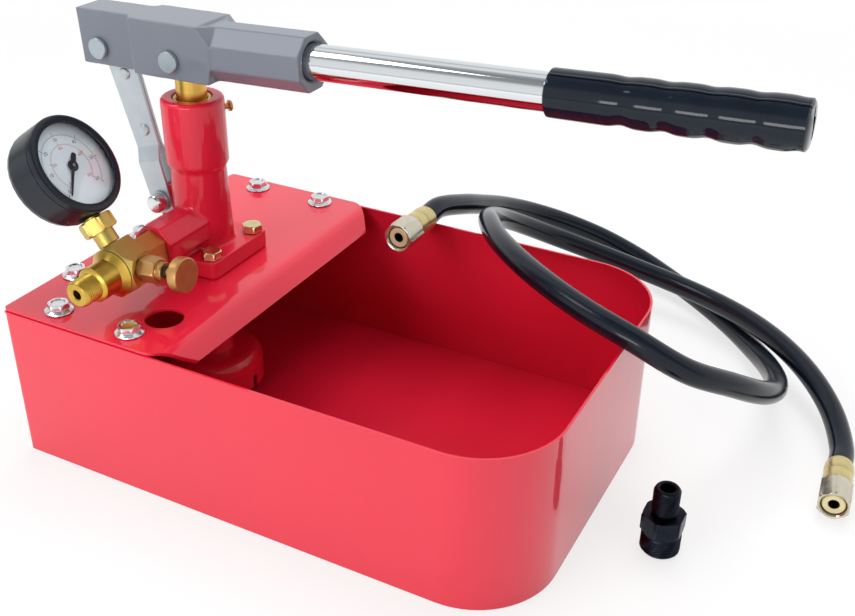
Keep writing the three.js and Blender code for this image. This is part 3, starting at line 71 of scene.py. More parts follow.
FOCAL_PIXELS, PHOTO_PIXELS, SENSOR_WIDTH = 1120.8, 855, 36.0
CAMERA_PLACE = (0.3298, -0.5357, 0.4569)
camera_yaw, camera_pitch, camera_roll = radians(-27.0), radians(29.96), radians(-0.81)
camera_data = bpy.data.cameras.new("Camera")
camera_data.sensor_width = SENSOR_WIDTH
camera_data.lens = FOCAL_PIXELS / PHOTO_PIXELS * SENSOR_WIDTH
camera_data.clip_start = 0.02
camera = placed("Camera", camera_data)
forward = Vector((
    sin(camera_yaw) * cos(camera_pitch), cos(camera_yaw) * cos(camera_pitch), -sin(camera_pitch),
))
level_right = Vector((cos(camera_yaw), -sin(camera_yaw), 0.0))
level_down = forward.cross(level_right)
image_right = cos(camera_roll) * level_right + sin(camera_roll) * level_down
image_down = cos(camera_roll) * level_down - sin(camera_roll) * level_right
camera.matrix_world = Matrix.Translation(CAMERA_PLACE) @ Matrix(
    (image_right, -image_down, -forward)
).transposed().to_4x4()
bpy.context.scene.camera = camera

# Pressure hose: 1.36 m of wire-braided rubber, 15.6 mm outside, extruded smooth and black.
# It springs out of its first fitting over the far rim, lies in a loop and ends on the floor.
# The route's points are in mm.
HOSE_ROUTE = [
    (-1.5, 111.3, 113), (-1.1, 127.3, 113.7), (2.5, 163, 103.2), (4, 197.5, 89.5), (7, 231, 75.5),
    (18, 262.5, 60.5), (41.5, 286, 46), (72.5, 299, 32.5), (107, 299, 21), (141, 288, 12.5),
    (172, 269.5, 8.6), (199.5, 245, 8.3), (222.5, 216.5, 11), (240, 185.5, 18), (251, 152, 28.5),
    (254.5, 118, 42), (250, 86, 58.5), (237, 57, 77), (213.5, 31, 95), (181.5, 22, 112.5),
    (147.5, 30, 119), (115, 46.5, 121.8), (86, 69, 121.3), (61, 95.5, 118), (41.5, 126, 111.6),
    (27.5, 158, 100), (22.5, 191, 85), (28.5, 222, 67.5), (46.5, 247, 50.5), (78.5, 259.5, 38.5),
    (114, 263, 30.5), (150, 258, 27), (184.5, 245.5, 26.5), (216, 227, 27.3), (245, 204, 26.7),
    (270.5, 178.5, 23), (291.5, 149, 17), (304.4, 114.3, 12.6), (305.8, 98.4, 12.2),
]
HOSE_RADIUS = 0.0078
ROUTE_STEPS = 10


def along_route(points, steps):
    """Points on the smooth curve through the route, steps to each stretch."""
    points = [points[0] * 2 - points[1]] + points + [points[-1] * 2 - points[-2]]
    line = []
    for before, start, end, after in zip(points, points[1:], points[2:], points[3:]):
        pairs = ((before, start), (start, end), (end, after))
        gaps = [max((b - a).length ** 0.5, 1e-6) for a, b in pairs]
        leave = (
            (start - before) / gaps[0] - (end - before) / (gaps[0] + gaps[1])
            + (end - start) / gaps[1]
        )
        reach = (
            (end - start) / gaps[1] - (after - start) / (gaps[1] + gaps[2])
            + (after - end) / gaps[2]
        )
        leave, reach = leave * gaps[1], reach * gaps[1]
        for i in range(steps):
            t = i / steps
            line.append(
                start + leave * t + (end * 3 - start * 3 - leave * 2 - reach) * t**2
                + (start * 2 - end * 2 + leave + reach) * t**3
            )
    return line + [points[-2]]


def linear(colour):
    """An sRGB hex colour as linear red, green, blue and alpha."""
    parts = [int(colour[i : i + 2], 16) / 255 for i in (1, 3, 5)]
    return [p / 12.92 if p <= 0.04045 else ((p + 0.055) / 1.055) ** 2.4 for p in parts] + [1.0]


def new_material(name):
    """A material that has no nodes yet, and its tree."""
    made = bpy.data.materials.new(name)
    made.use_nodes = True
    made.node_tree.nodes.clear()
    return made, made.node_tree


def add_node(tree, kind, settings=None, links=None):
    """Adds one node; settings are its properties and inputs, links the sockets that feed it."""
    made = tree.nodes.new(kind)
    for key, value in (settings or {}).items():
        if isinstance(key, str) and hasattr(made, key):
            setattr(made, key, value)
        else:
            made.inputs[key].default_value = value
    for key, socket in (links or {}).items():
        tree.links.new(socket, made.inputs[key])
    return made


# Extruded rubber: a soft sheen, broken up by talc clouds of 12 mm. Its grain is finer than the
# 0.9 mm drawn here, which is what still shows.
hose_rubber, tree = new_material("Extruded_hose_rubber")
place = add_node(tree, "ShaderNodeTexCoord")
cloud = add_node(tree, "ShaderNodeTexNoise", {"Scale": 1 / 0.012, "Detail": 3.0},
                 {"Vector": place.outputs["Object"]})
grain = add_node(tree, "ShaderNodeTexNoise", {"Scale": 1 / 0.0009, "Detail": 2.0},
                 {"Vector": place.outputs["Object"]})
tone = add_node(tree, "ShaderNodeMix",
                {"data_type": "RGBA", 6: linear("#080E18"), 7: linear("#101926")},
                {0: cloud.outputs["Fac"]})
dull = add_node(tree, "ShaderNodeMapRange", {"To Min": 0.14, "To Max": 0.22},
                {"Value": cloud.outputs["Fac"]})
rise = add_node(tree, "ShaderNodeBump", {"Strength": 0.12, "Distance": 0.0001},
                {"Height": grain.outputs["Fac"]})
surface = add_node(tree, "ShaderNodeBsdfPrincipled", {"IOR": 1.52, "Specular IOR Level": 0.3},
                   {"Base Color": tone.outputs[2], "Roughness": dull.outputs[0],
                    "Normal": rise.outputs[0]})
add_node(tree, "ShaderNodeOutputMaterial", None, {"Surface": surface.outputs[0]})

hose_line = along_route([Vector(point) / 1000 for point in HOSE_ROUTE], ROUTE_STEPS)
hose_curve = bpy.data.curves.new("hose", "CURVE")
hose_curve.dimensions = "3D"
hose_curve.bevel_depth = HOSE_RADIUS
hose_curve.bevel_resolution = 7
hose_curve.use_fill_caps = True
hose_spline = hose_curve.splines.new("POLY")
hose_spline.points.add(len(hose_line) - 1)
for knot, point in zip(hose_spline.points, hose_line):
    knot.co = (*point, 1.0)
hose_spline.use_smooth = True
hose = placed("hose", hose_curve)
hose.data.materials.append(hose_rubber)
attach(hose, "pump")
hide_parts("hose_tube")


# Hose ends: a swivel nut milled from hexagon bar, a coned tail, and a ferrule crimped in two bands.
# All are steel plated with zinc: the nuts pale, the tails and ferrules yellow.
def smoothed(mesh, crease):
    """Shades a mesh smooth, but for its edges that bend by more than crease degrees."""
    for face in mesh.polygons:
        face.use_smooth = True
    mesh.set_sharp_from_angle(angle=radians(crease))


def ring_reach(ring, turn):
    """How far out a ring of a turned piece reaches at this angle, in mm."""
    radius, height = ring[:2]
    flats = ring[2] if len(ring) > 2 else None
    thread = ring[3] if len(ring) > 3 else None
    reach = radius
    if flats:
        reach = min(radius, flats / 2 / cos((turn + pi / 6) % (pi / 3) - pi / 6))
    if thread:
        reach -= thread[1] * abs(((height / thread[0] - turn / 2 / pi) % 1) * 2 - 1)
    return reach


def spun(name, rings, at, finish, sides=96):
    """A turned piece; each ring is (radius, height, flats, (pitch, depth)) in mm.

    Flats are the width across a hexagon, pitch and depth those of a thread; both may be left out.
    """
    mesh = bpy.data.meshes.new(name)
    build = bmesh.new()
    chart = build.loops.layers.uv.new("UVMap")
    rows, travel = [], [0.0]
    for k, ring in enumerate(rings):
        radius, height = ring[:2]
        if k:
            travel.append(travel[-1] + hypot(radius - rings[k - 1][0], height - rings[k - 1][1]))
        if radius == 0:
            rows.append([build.verts.new((0, 0, height / 1000))] * sides)
            continue
        row = []
        for i in range(sides):
            turn = 2 * pi * i / sides
            reach = ring_reach(ring, turn)
            row.append(build.verts.new(
                (reach * cos(turn) / 1000, reach * sin(turn) / 1000, height / 1000)
            ))
        rows.append(row)
    for k in range(len(rows) - 1):
        for i in range(sides):
            j = (i + 1) % sides
            corners = [
                (rows[k][i], i, k), (rows[k][j], i + 1, k),
                (rows[k + 1][j], i + 1, k + 1), (rows[k + 1][i], i, k + 1),
            ]
            kept = []
            for corner in corners:
                if all(corner[0] is not other[0] for other in kept):
                    kept.append(corner)
            if len(kept) < 3:
                continue
            face = build.faces.new([corner[0] for corner in kept])
            for loop, corner in zip(face.loops, kept):
                loop[chart].uv = (corner[1] / sides, travel[corner[2]] / 1000)
    if rings[0] == rings[-1]:
        bmesh.ops.remove_doubles(build, verts=build.verts, dist=1e-7)
    bmesh.ops.recalc_face_normals(build, faces=build.faces)
    build.to_mesh(mesh)
    build.free()
    mesh.transform(at)
    smoothed(mesh, 28)
    mesh.materials.append(finish)
    return placed(name, mesh)


def plated(name, pale, deep, gloss, ring_gap=0.00035, ring_lift=0.06, metal=1.0):
    """Turned or plated metal: it clouds a little every 6 mm and has the lathe's fine rings.

    The real rings are about 0.1 mm apart and are drawn wider, so that they show.
    """
    finish, tree = new_material(name)
    place = add_node(tree, "ShaderNodeTexCoord")
    cloud = add_node(tree, "ShaderNodeTexNoise", {"Scale": 1 / 0.006, "Detail": 3.0},
                     {"Vector": place.outputs["Object"]})
    lathe = add_node(tree, "ShaderNodeMapping", {"Scale": (2.0, 1 / ring_gap, 1.0)},
                     {"Vector": place.outputs["UV"]})
    rings = add_node(tree, "ShaderNodeTexNoise", {"Scale": 1.0, "Detail": 1.0},
                     {"Vector": lathe.outputs[0]})
    tone = add_node(tree, "ShaderNodeMix", {"data_type": "RGBA", 6: linear(deep), 7: linear(pale)},
                    {0: cloud.outputs["Fac"]})
    dull = add_node(tree, "ShaderNodeMapRange", {"To Min": gloss - 0.05, "To Max": gloss + 0.09},
                    {"Value": cloud.outputs["Fac"]})
    rise = add_node(tree, "ShaderNodeBump", {"Strength": ring_lift, "Distance": 0.00005},
                    {"Height": rings.outputs["Fac"]})
    surface = add_node(tree, "ShaderNodeBsdfPrincipled", {"Metallic": metal},
                       {"Base Color": tone.outputs[2], "Roughness": dull.outputs[0],
                        "Normal": rise.outputs[0]})
    add_node(tree, "ShaderNodeOutputMaterial", None, {"Surface": surface.outputs[0]})
    return finish


# Zinc plate: bright on the nuts, and satin where its yellow passivation is thicker. A tail's bore
# is coloured near black, as painted shade for the dark inside of the bore.
pale_zinc = plated("Pale_zinc_plated_steel", "#DDD6C6", "#C4BCA8", gloss=0.2, ring_lift=0.01,
                   metal=0.9)
yellow_zinc = plated("Yellow_zinc_plated_steel", "#E2D39B", "#C4B078", gloss=0.28, ring_lift=0.04,
                     metal=0.8)
tail_zinc = plated("Pale_yellow_zinc_plated_steel", "#EBDFB2", "#D6C898", gloss=0.4, ring_lift=0.03,
                   metal=0.45)
bore_painted_shade = plated("Near_black_painted_bore_shade", "#16130F", "#0D0B08", gloss=0.5, ring_lift=0.03,
                    metal=0.3)
bright_zinc = plated("Bright_zinc_plated_steel", "#F0F0F1", "#D2D3D6", gloss=0.2)

TAIL_BORE = 3.4
NUT_RINGS = [
    (5.9, 15), (8, 15), (8, 1.2), (8.6, 0.3), (9.4, 0, 19), (9.9, 0.15, 19), (10.97, 1.3, 19),
    (10.97, 18.6, 19), (9.6, 19.7, 19), (9.2, 20, 19), (5.9, 20), (5.9, 15),
]
TAIL_RINGS = [
    (TAIL_BORE, 41), (TAIL_BORE, 2.1), (3.7, 1.6), (6.0, 1.4), (6.6, 1.5), (7.1, 2.0), (7.3, 2.8),
    (7.3, 14.7), (5.6, 14.7), (5.6, 41.4), (TAIL_BORE, 41.4), (TAIL_BORE, 41),
]
FERRULE_START, FERRULE_LENGTH, BAND_STEPS = 20.9, 20.2, 24
ferrule_rings = [(5.9, 20.3), (8.2, 20.3), (8.75, 20.6)]
for i in range(BAND_STEPS + 1):
    share = i / BAND_STEPS
    band = abs(sin(share * 2 * pi)) ** 0.45
    ferrule_rings.append((8.5 + 0.8 * band, FERRULE_START + share * FERRULE_LENGTH))
ferrule_rings += [(8.6, 41.5), (8.1, 41.7), (5.9, 41.7), (5.9, 20.3)]

hose_pieces = []
for number, face, axis, hex_turn in (
    (1, (-2.3, 69, 114), (0.02, 0.9995, -0.025), 0),
    (2, (309.6, 56.3, 11.2), (-0.09, 0.9957, 0.024), 30),
):
    turned_to = Vector((1, 0, 0)).rotation_difference(Vector(axis)).to_matrix().to_4x4()
    end = Matrix.Translation(Vector(face) / 1000) @ turned_to @ Matrix.Rotation(pi / 2, 4, "Y")
    nut = spun("hose_nut_piece_%d" % number, NUT_RINGS,
               end @ Matrix.Rotation(radians(hex_turn), 4, "Z"), pale_zinc)
    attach(nut, "swivel_nut_%d" % number)
    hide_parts("hose_nut_%d" % number)
    tail = spun("hose_tail_piece_%d" % number, TAIL_RINGS, end, tail_zinc)
    # Painted shade: the walls of the bore take a near-black finish
    tail.data.materials.append(bore_painted_shade)
    for wall in tail.data.polygons:
        if (end.inverted() @ wall.center).xy.length < (TAIL_BORE + 0.1) / 1000:
            wall.material_index = 1
    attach(tail, "pump")
    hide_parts("hose_tail_%d" % number)
    ferrule = spun("hose_ferrule_piece_%d" % number, ferrule_rings, end, yellow_zinc)
    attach(ferrule, "pump")
    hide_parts("hose_ferrule_%d" % number)
    hose_pieces += [nut, tail, ferrule]


# Water tank: 1.5 mm sheet steel bent round, welded to its floor and powder coated a bright red.
# The coat rounds every edge a little and has the faint orange peel of baked powder.
def dressed(node, name, finish, edge, steps=2, crease=30):
    """A piece with the shape of a CAD node, its edges broken by edge mm as the real one's are."""
    mesh = frame["nodes"][node].data.copy()
    mesh.name = name
    mesh.materials.clear()
    build = bmesh.new()
    build.from_mesh(mesh)
    bmesh.ops.remove_doubles(build, verts=build.verts, dist=2e-6)
    bmesh.ops.dissolve_limit(build, angle_limit=radians(1.5), verts=build.verts, edges=build.edges)
    build.to_mesh(mesh)
    build.free()
    smoothed(mesh, crease)
    mesh.materials.append(finish)
    made = placed(name, mesh)
    if edge:
        broken = made.modifiers.new("Broken edges", "BEVEL")
        broken.width = edge / 1000
        broken.segments = steps
        broken.limit_method = "ANGLE"
        broken.angle_limit = radians(crease)
        broken.harden_normals = True
    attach(made, frame["nodes"][node]["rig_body"])
    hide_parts(node)
    return made


def coated(name, bright, deep, gloss, peel, gleam=1.0, shine=0.25):
    """Paint baked on metal, which clouds a little every 7 cm.

    peel is how strongly its orange peel of 1.6 mm shows, gleam how much clear top layer it has.
    """
    finish, tree = new_material(name)
    place = add_node(tree, "ShaderNodeTexCoord")
    cloud = add_node(tree, "ShaderNodeTexNoise", {"Scale": 1 / 0.07, "Detail": 2.0},
                     {"Vector": place.outputs["Object"]})
    skin = add_node(tree, "ShaderNodeTexNoise", {"Scale": 1 / 0.0016, "Detail": 1.0},
                    {"Vector": place.outputs["Object"]})
    tone = add_node(tree, "ShaderNodeMix",
                    {"data_type": "RGBA", 6: linear(deep), 7: linear(bright)},
                    {0: cloud.outputs["Fac"]})
    dull = add_node(tree, "ShaderNodeMapRange", {"To Min": gloss - 0.04, "To Max": gloss + 0.06},
                    {"Value": cloud.outputs["Fac"]})
    rise = add_node(tree, "ShaderNodeBump", {"Strength": peel, "Distance": 0.0001},
                    {"Height": skin.outputs["Fac"]})
    surface = add_node(tree, "ShaderNodeBsdfPrincipled",
                       {"IOR": 1.5, "Specular IOR Level": shine, "Coat Weight": gleam,
                        "Coat Roughness": 0.06},
                       {"Base Color": tone.outputs[2], "Roughness": dull.outputs[0],
                        "Normal": rise.outputs[0]})
    add_node(tree, "ShaderNodeOutputMaterial", None, {"Surface": surface.outputs[0]})
    return finish


# Red powder coat: glossy outside. Surfaces that face the tank's middle lose most of the clear
# gloss, and their colour is darkened there as painted shade for the tank's dark inside.
RED_BRIGHT, RED_DEEP = "#E01A39", "#D81634"
TANK_MIDDLE = (0, 0, 0.05)
# The colour that inward surfaces are multiplied by is painted shade for the tank's dark inside
INSIDE_GLOSS, INSIDE_PAINTED_SHADE = 0.3, (0.76, 0.68, 0.7, 1)
red_coat = coated("Red_powder_coat", RED_BRIGHT, RED_DEEP, gloss=0.5, peel=0.04)
tank_coat = coated("Red_powder_coat_painted_shade_inside", RED_BRIGHT, RED_DEEP, gloss=0.5, peel=0.04)
tree = tank_coat.node_tree
shape = add_node(tree, "ShaderNodeNewGeometry")
from_middle = add_node(tree, "ShaderNodeVectorMath", {"operation": "SUBTRACT", 1: TANK_MIDDLE},
                       {0: shape.outputs["Position"]})
outward = add_node(tree, "ShaderNodeVectorMath", {"operation": "DOT_PRODUCT"},
                   {0: from_middle.outputs[0], 1: shape.outputs["Normal"]})
gloss_and_painted_shade_mask = add_node(tree, "ShaderNodeMapRange",
               {"From Min": -0.005, "From Max": 0.005, "To Min": INSIDE_GLOSS, "To Max": 1.0},
               {"Value": outward.outputs["Value"]})
painted = [made for made in tree.nodes if made.bl_idname == "ShaderNodeBsdfPrincipled"][0]
coat_colour = painted.inputs["Base Color"].links[0].from_socket
# Painted shade: the coat's colour is multiplied darker where the surface faces the tank's middle
thin_ink_and_painted_shade = add_node(tree, "ShaderNodeMix",
                {"data_type": "RGBA", "blend_type": "MULTIPLY", 0: 1.0, 7: INSIDE_PAINTED_SHADE},
                {6: coat_colour})
layer = add_node(tree, "ShaderNodeMix", {"data_type": "RGBA"},
                 {0: gloss_and_painted_shade_mask.outputs[0], 6: thin_ink_and_painted_shade.outputs[2], 7: coat_colour})
tree.links.new(gloss_and_painted_shade_mask.outputs[0], painted.inputs["Coat Weight"])
tree.links.new(layer.outputs[2], painted.inputs["Base Color"])
tank = dressed("tank_shell", "tank", tank_coat, edge=0.45)

# Cover plate: 2 mm sheet steel, with a lip bent down in front and a punched filler hole.
# It carries the same red powder coat as the tank that it is bolted to.
plate = dressed("cover_plate", "cover", red_coat, edge=0.6, steps=3)

# Plate bolts: cold-headed M8 flange bolts with a dished top, bright zinc plated. They hold the
# cover plate to the nuts under the tank's ledge, two on each side and three behind.
TANK_END, SIDE_ROW, REAR_ROW = -177.5, 106.5, -167.5
BOLT_SEAT = 0.1072
PLATE_BOLT_RINGS = [
    (0, -13), (4, -13), (4, 0), (8.5, 0), (8.9, 0.4), (8.7, 0.9), (7.4, 1.7), (6.95, 2.2, 12),
    (6.93, 2.5, 12), (6.93, 4.7, 12), (6.3, 5.4, 12), (5.6, 5.6, 12), (4.7, 5.6), (4.3, 5.3),
    (3.9, 4.8), (0, 4.5),
]
plate_bolts = []
for side in (-1, 1):
    plate_bolts += [(TANK_END + 33.3, side * SIDE_ROW), (TANK_END + 88.8, side * SIDE_ROW)]
plate_bolts += [(REAR_ROW, y) for y in (-66, 0, 66)]
for number, (x, y) in enumerate(plate_bolts, 1):
    at = Matrix.Translation((x / 1000, y / 1000, BOLT_SEAT)) @ Matrix.Rotation(number - 1, 4, "Z")
    bolt = spun("plate_bolt_head_%d" % number, PLATE_BOLT_RINGS, at, bright_zinc)
    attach(bolt, "pump")
    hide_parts("plate_bolt_%d" % number)


# Pump body: one grey iron casting, fettled and sprayed in the tank's red. A mould leaves no sharp
# edge, so its corners are round and its barrel runs into the flange and the boss with a fillet.
def cast(node, name, finish, grain, melt, lumps=()):
    """A piece with the shape of a CAD node and some convex lumps, softened like a casting.

    grain is the size of its voxels in mm, melt how many times they are smoothed.
    """
    made = dressed(node, name, finish, edge=0)
    build = bmesh.new()
    build.from_mesh(made.data)
    for lump in lumps:
        bmesh.ops.convex_hull(build, input=[build.verts.new(corner) for corner in lump])
    build.to_mesh(made.data)
    build.free()
    skin = made.modifiers.new("Mould skin", "REMESH")
    skin.mode = "VOXEL"
    skin.voxel_size = grain / 1000
    skin.use_smooth_shade = True
    soft = made.modifiers.new("Mould fillets", "SMOOTH")
    soft.factor = 0.5
    soft.iterations = melt
    return made


body_coat = coated("Red_enamel_on_iron", "#E01838", "#D51432", gloss=0.5, peel=0.08, gleam=0.7)
body = cast("pump_body", "barrel", body_coat, grain=0.7, melt=6)

# Base bolts: four hexagon bolts that hold the body's flange to the plate. Their zinc plate has a
# bright yellow passivation.
FLANGE_TOP = 0.1195
BASE_BOLT_RINGS = [
    (0, -23), (4, -23), (4, 0), (5.7, 0), (5.9, 0.25), (6.93, 0.3, 12), (6.93, 4.3, 12),
    (6.4, 4.9, 12), (5.7, 5.3), (0, 5.3),
]
bolt_zinc = plated("Bright_yellow_zinc_plated_steel", "#E6D7A8", "#C9B685", gloss=0.2)
base_bolts = [(-134.5, -22.5), (-134.5, 22.5), (-89.5, -22.5), (-89.5, 22.5)]
for number, (x, y) in enumerate(base_bolts, 1):
    at = Matrix.Translation((x / 1000, y / 1000, FLANGE_TOP)) @ Matrix.Rotation(number, 4, "Z")
    bolt = spun("base_bolt_head_%d" % number, BASE_BOLT_RINGS, at, bolt_zinc)
    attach(bolt, "pump")
    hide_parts("base_bolt_%d" % number)

# Gland: a brass ring, turned from bar and screwed into the barrel's top over its rubber packing.
# Machined brass is bright and warm, with fine tool marks, and redder where the alloy has less zinc.
BARREL_X, BARREL_TOP = -0.112, 0.2176
GLAND_RINGS = [(10, -12), (12.5, -12), (12.5, -0.6), (11.9, 0), (10.7, 0), (10, -0.6), (10, -12)]
machined_brass = plated("Machined_brass", "#DDBC58", "#C59D40", gloss=0.3, ring_gap=0.0003,
                        ring_lift=0.05)
bronze_brass = plated("Warm_machined_brass", "#D3A66C", "#B98A55", gloss=0.38, ring_gap=0.0003,
                      ring_lift=0.03, metal=0.85)
gland_at = Matrix.Translation((BARREL_X, 0, BARREL_TOP))
gland = spun("gland_ring", GLAND_RINGS, gland_at, machined_brass)
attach(gland, "pump")
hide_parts("gland_nut")

# Packing and seals: moulded nitrile rubber, out of sight in the barrel and on the valve's neck.
# It is matt and nearly black, with paler blooms of 2 mm.
seal_rubber, tree = new_material("Moulded_nitrile_rubber")
place = add_node(tree, "ShaderNodeTexCoord")
cloud = add_node(tree, "ShaderNodeTexNoise", {"Scale": 1 / 0.002},
                 {"Vector": place.outputs["Object"]})
tone = add_node(tree, "ShaderNodeMix",
                {"data_type": "RGBA", 6: linear("#0B0C0E"), 7: linear("#1B1C1F")},
                {0: cloud.outputs["Fac"]})
surface = add_node(tree, "ShaderNodeBsdfPrincipled", {"Roughness": 0.5, "IOR": 1.52},
                   {"Base Color": tone.outputs[2]})
add_node(tree, "ShaderNodeOutputMaterial", None, {"Surface": surface.outputs[0]})


def finished(node, finish):
    """A CAD node that keeps its own mesh and only takes a finish."""
    mesh = frame["nodes"][node].data
    mesh.materials.clear()
    mesh.materials.append(finish)


for node in ("gland_packing", "plunger_seal"):
    finished(node, seal_rubber)

# Bleed screw: a small brass screw with a rounded head, turned in one piece. It closes the barrel's
# vent, behind and to the right of its top.
BLEED_HEIGHT, BLEED_TURN = 0.2074, 1.03
BLEED_RINGS = [
    (0, 15.5), (1.9, 15.5), (1.9, 23.8), (3.3, 23.8), (3.6, 24.1), (3.6, 25.2), (3.1, 25.9),
    (2, 26.2), (0, 26.2),
]
at = (Matrix.Translation((BARREL_X, 0, BLEED_HEIGHT)) @ Matrix.Rotation(BLEED_TURN, 4, "Z")
      @ Matrix.Rotation(pi / 2, 4, "Y"))
bleed = spun("bleed_screw_head", BLEED_RINGS, at, bronze_brass, 48)
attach(bleed, "pump")
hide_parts("bleed_screw")

# Suction foot: a painted pipe with a pressed strainer bell, which hangs into the tank's water.
# A polished steel ball in it, and one behind a wire spring in the valve block, stop the backflow.
suction_pipe = dressed("suction_tube", "suction_pipe", red_coat, edge=0.3)
strainer = dressed("suction_strainer", "strainer", red_coat, edge=0.3)
ball_steel = plated("Polished_ball_steel", "#DADCDF", "#C3C6CA", gloss=0.1)
for node in ("suction_ball", "delivery_ball", "delivery_spring"):
    finished(node, ball_steel)

# Plunger: ground brass bar, with an eye across its top for the lever's pin. Grinding leaves fine
# rings round it, drawn 0.4 mm apart so that they show.
GRINDING_GAP = 0.0004
ground_brass, tree = new_material("Ground_brass_bar")
place = add_node(tree, "ShaderNodeTexCoord")
lathe = add_node(tree, "ShaderNodeMapping", {"Scale": (30.0, 30.0, 1 / GRINDING_GAP)},
                 {"Vector": place.outputs["Object"]})
rings = add_node(tree, "ShaderNodeTexNoise", {"Scale": 1.0, "Detail": 2.0},
                 {"Vector": lathe.outputs[0]})
tone = add_node(tree, "ShaderNodeMix",
                {"data_type": "RGBA", 6: linear("#D0A243"), 7: linear("#E6C468")},
                {0: rings.outputs["Fac"]})
rise = add_node(tree, "ShaderNodeBump", {"Strength": 0.08, "Distance": 0.00005},
                {"Height": rings.outputs["Fac"]})
surface = add_node(tree, "ShaderNodeBsdfPrincipled", {"Metallic": 1.0, "Roughness": 0.3},
                   {"Base Color": tone.outputs[2], "Normal": rise.outputs[0]})
add_node(tree, "ShaderNodeOutputMaterial", None, {"Surface": surface.outputs[0]})
plunger = dressed("plunger_rod", "plunger", ground_brass, edge=0.25)

# Valve block: hexagon brass bar, milled down behind to a smaller neck and faced in front.
# Its flats keep the drawn bar's satin skin, with draw lines 0.4 mm apart and clouds of 10 mm.
DRAW_GAP = 0.0004
bar_brass, tree = new_material("Drawn_brass_bar")
place = add_node(tree, "ShaderNodeTexCoord")
drawn = add_node(tree, "ShaderNodeMapping", {"Scale": (1 / DRAW_GAP, 40.0, 1 / DRAW_GAP)},
                 {"Vector": place.outputs["Object"]})
lines = add_node(tree, "ShaderNodeTexNoise", {"Scale": 1.0, "Detail": 2.0},
                 {"Vector": drawn.outputs[0]})
cloud = add_node(tree, "ShaderNodeTexNoise", {"Scale": 1 / 0.01},
                 {"Vector": place.outputs["Object"]})
tone = add_node(tree, "ShaderNodeMix",
                {"data_type": "RGBA", 6: linear("#C6A95A"), 7: linear("#D8BE6E")},
                {0: cloud.outputs["Fac"]})
dull = add_node(tree, "ShaderNodeMapRange", {"To Min": 0.34, "To Max": 0.5},
                {"Value": lines.outputs["Fac"]})
rise = add_node(tree, "ShaderNodeBump", {"Strength": 0.06, "Distance": 0.00005},
                {"Height": lines.outputs["Fac"]})
surface = add_node(tree, "ShaderNodeBsdfPrincipled", {"Metallic": 1.0},
                   {"Base Color": tone.outputs[2], "Roughness": dull.outputs[0],
                    "Normal": rise.outputs[0]})
add_node(tree, "ShaderNodeOutputMaterial", None, {"Surface": surface.outputs[0]})
block = dressed("valve_block", "hexagon_block", bar_brass, edge=0.35)

# Outlet: a nipple turned from brass and screwed into the block. Its smaller end has a pipe thread
# of 19 to the inch for the hose.
VALVE_PLACE, VALVE_TILT = (BARREL_X, -0.077, 0.1334), radians(-5.5)
PIPE_PITCH, TURN_STEP = 1.34, 0.17
valve = Matrix.Translation(VALVE_PLACE) @ Matrix.Rotation(VALVE_TILT, 4, "Y")
forward_bore = valve @ Matrix.Rotation(pi / 2, 4, "X")
outlet_rings = [
    (3, 9.8), (6.6, 9.8), (6.6, 13.1), (14.7, 13.1), (15, 13.4), (11.3, 16.8), (11, 17.2),
    (11, 29.8), (10.6, 30.3), (8.6, 31.2), (8.5, 31.4),
]
outlet_rings += [(8.5, 31.6 + TURN_STEP * i, None, (PIPE_PITCH, 0.4)) for i in range(63)]
outlet_rings += [(7.9, 42.9), (7.3, 43.9), (7.0, 44.1), (3.6, 44.1), (3, 43.5), (3, 9.8)]
outlet = spun("outlet_end", outlet_rings, forward_bore, machined_brass)
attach(outlet, "pump")
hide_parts("outlet_nipple")

# Release valve: a hexagon packing nut with its neck and rubber seal, and a spindle with a plain
# round knob. All but the seal are turned from a redder brass.
PACKING_RINGS = [
    (3.2, 7), (5, 7), (5, 14.3), (7.4, 14.3), (7.7, 14.4, 14.6), (8.43, 15, 14.6),
    (8.43, 25.6, 14.6), (7.6, 26.6, 14.6), (7.1, 26.9, 14.6), (5.9, 26.9), (5.6, 27.4), (5.6, 28),
    (5.9, 28.4), (5.9, 30.3), (5.5, 30.9), (3.2, 30.9), (3.2, 7),
]
SEAL_RINGS = [
    (3.2, 31.2), (3.5, 31.2), (3.8, 31.6), (3.8, 32.4), (3.5, 32.8), (3.2, 32.8), (3.2, 31.2),
]
SPINDLE_RINGS = [
    (0, 8.6), (2.9, 11.1), (2.9, 35.2), (4.6, 35.8), (4.6, 37.2), (2.9, 38.2), (2.9, 43.6),
    (0, 43.6),
]
KNOB_RINGS = [
    (3.2, 43.9), (3.2, 39.9), (9.8, 39.9), (10.6, 40.2), (11, 40.8), (11, 46), (10.7, 46.6),
    (10.1, 46.9), (6, 46.75), (0, 46.7), (0, 43.9), (3.2, 43.9),
]
sideways = valve @ Matrix.Rotation(pi / 2, 4, "Y")
packing_nut = spun("packing_nut", PACKING_RINGS, sideways, bronze_brass)
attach(packing_nut, "pump")
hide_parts("release_body")
seal = spun("neck_seal", SEAL_RINGS, sideways, seal_rubber)
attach(seal, "pump")
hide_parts("release_seal")
spindle = spun("valve_spindle", SPINDLE_RINGS, sideways, bronze_brass, 48)
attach(spindle, "release")
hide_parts("release_spindle")
knob = spun("valve_knob", KNOB_RINGS, sideways, bronze_brass)
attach(knob, "release")
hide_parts("release_knob")

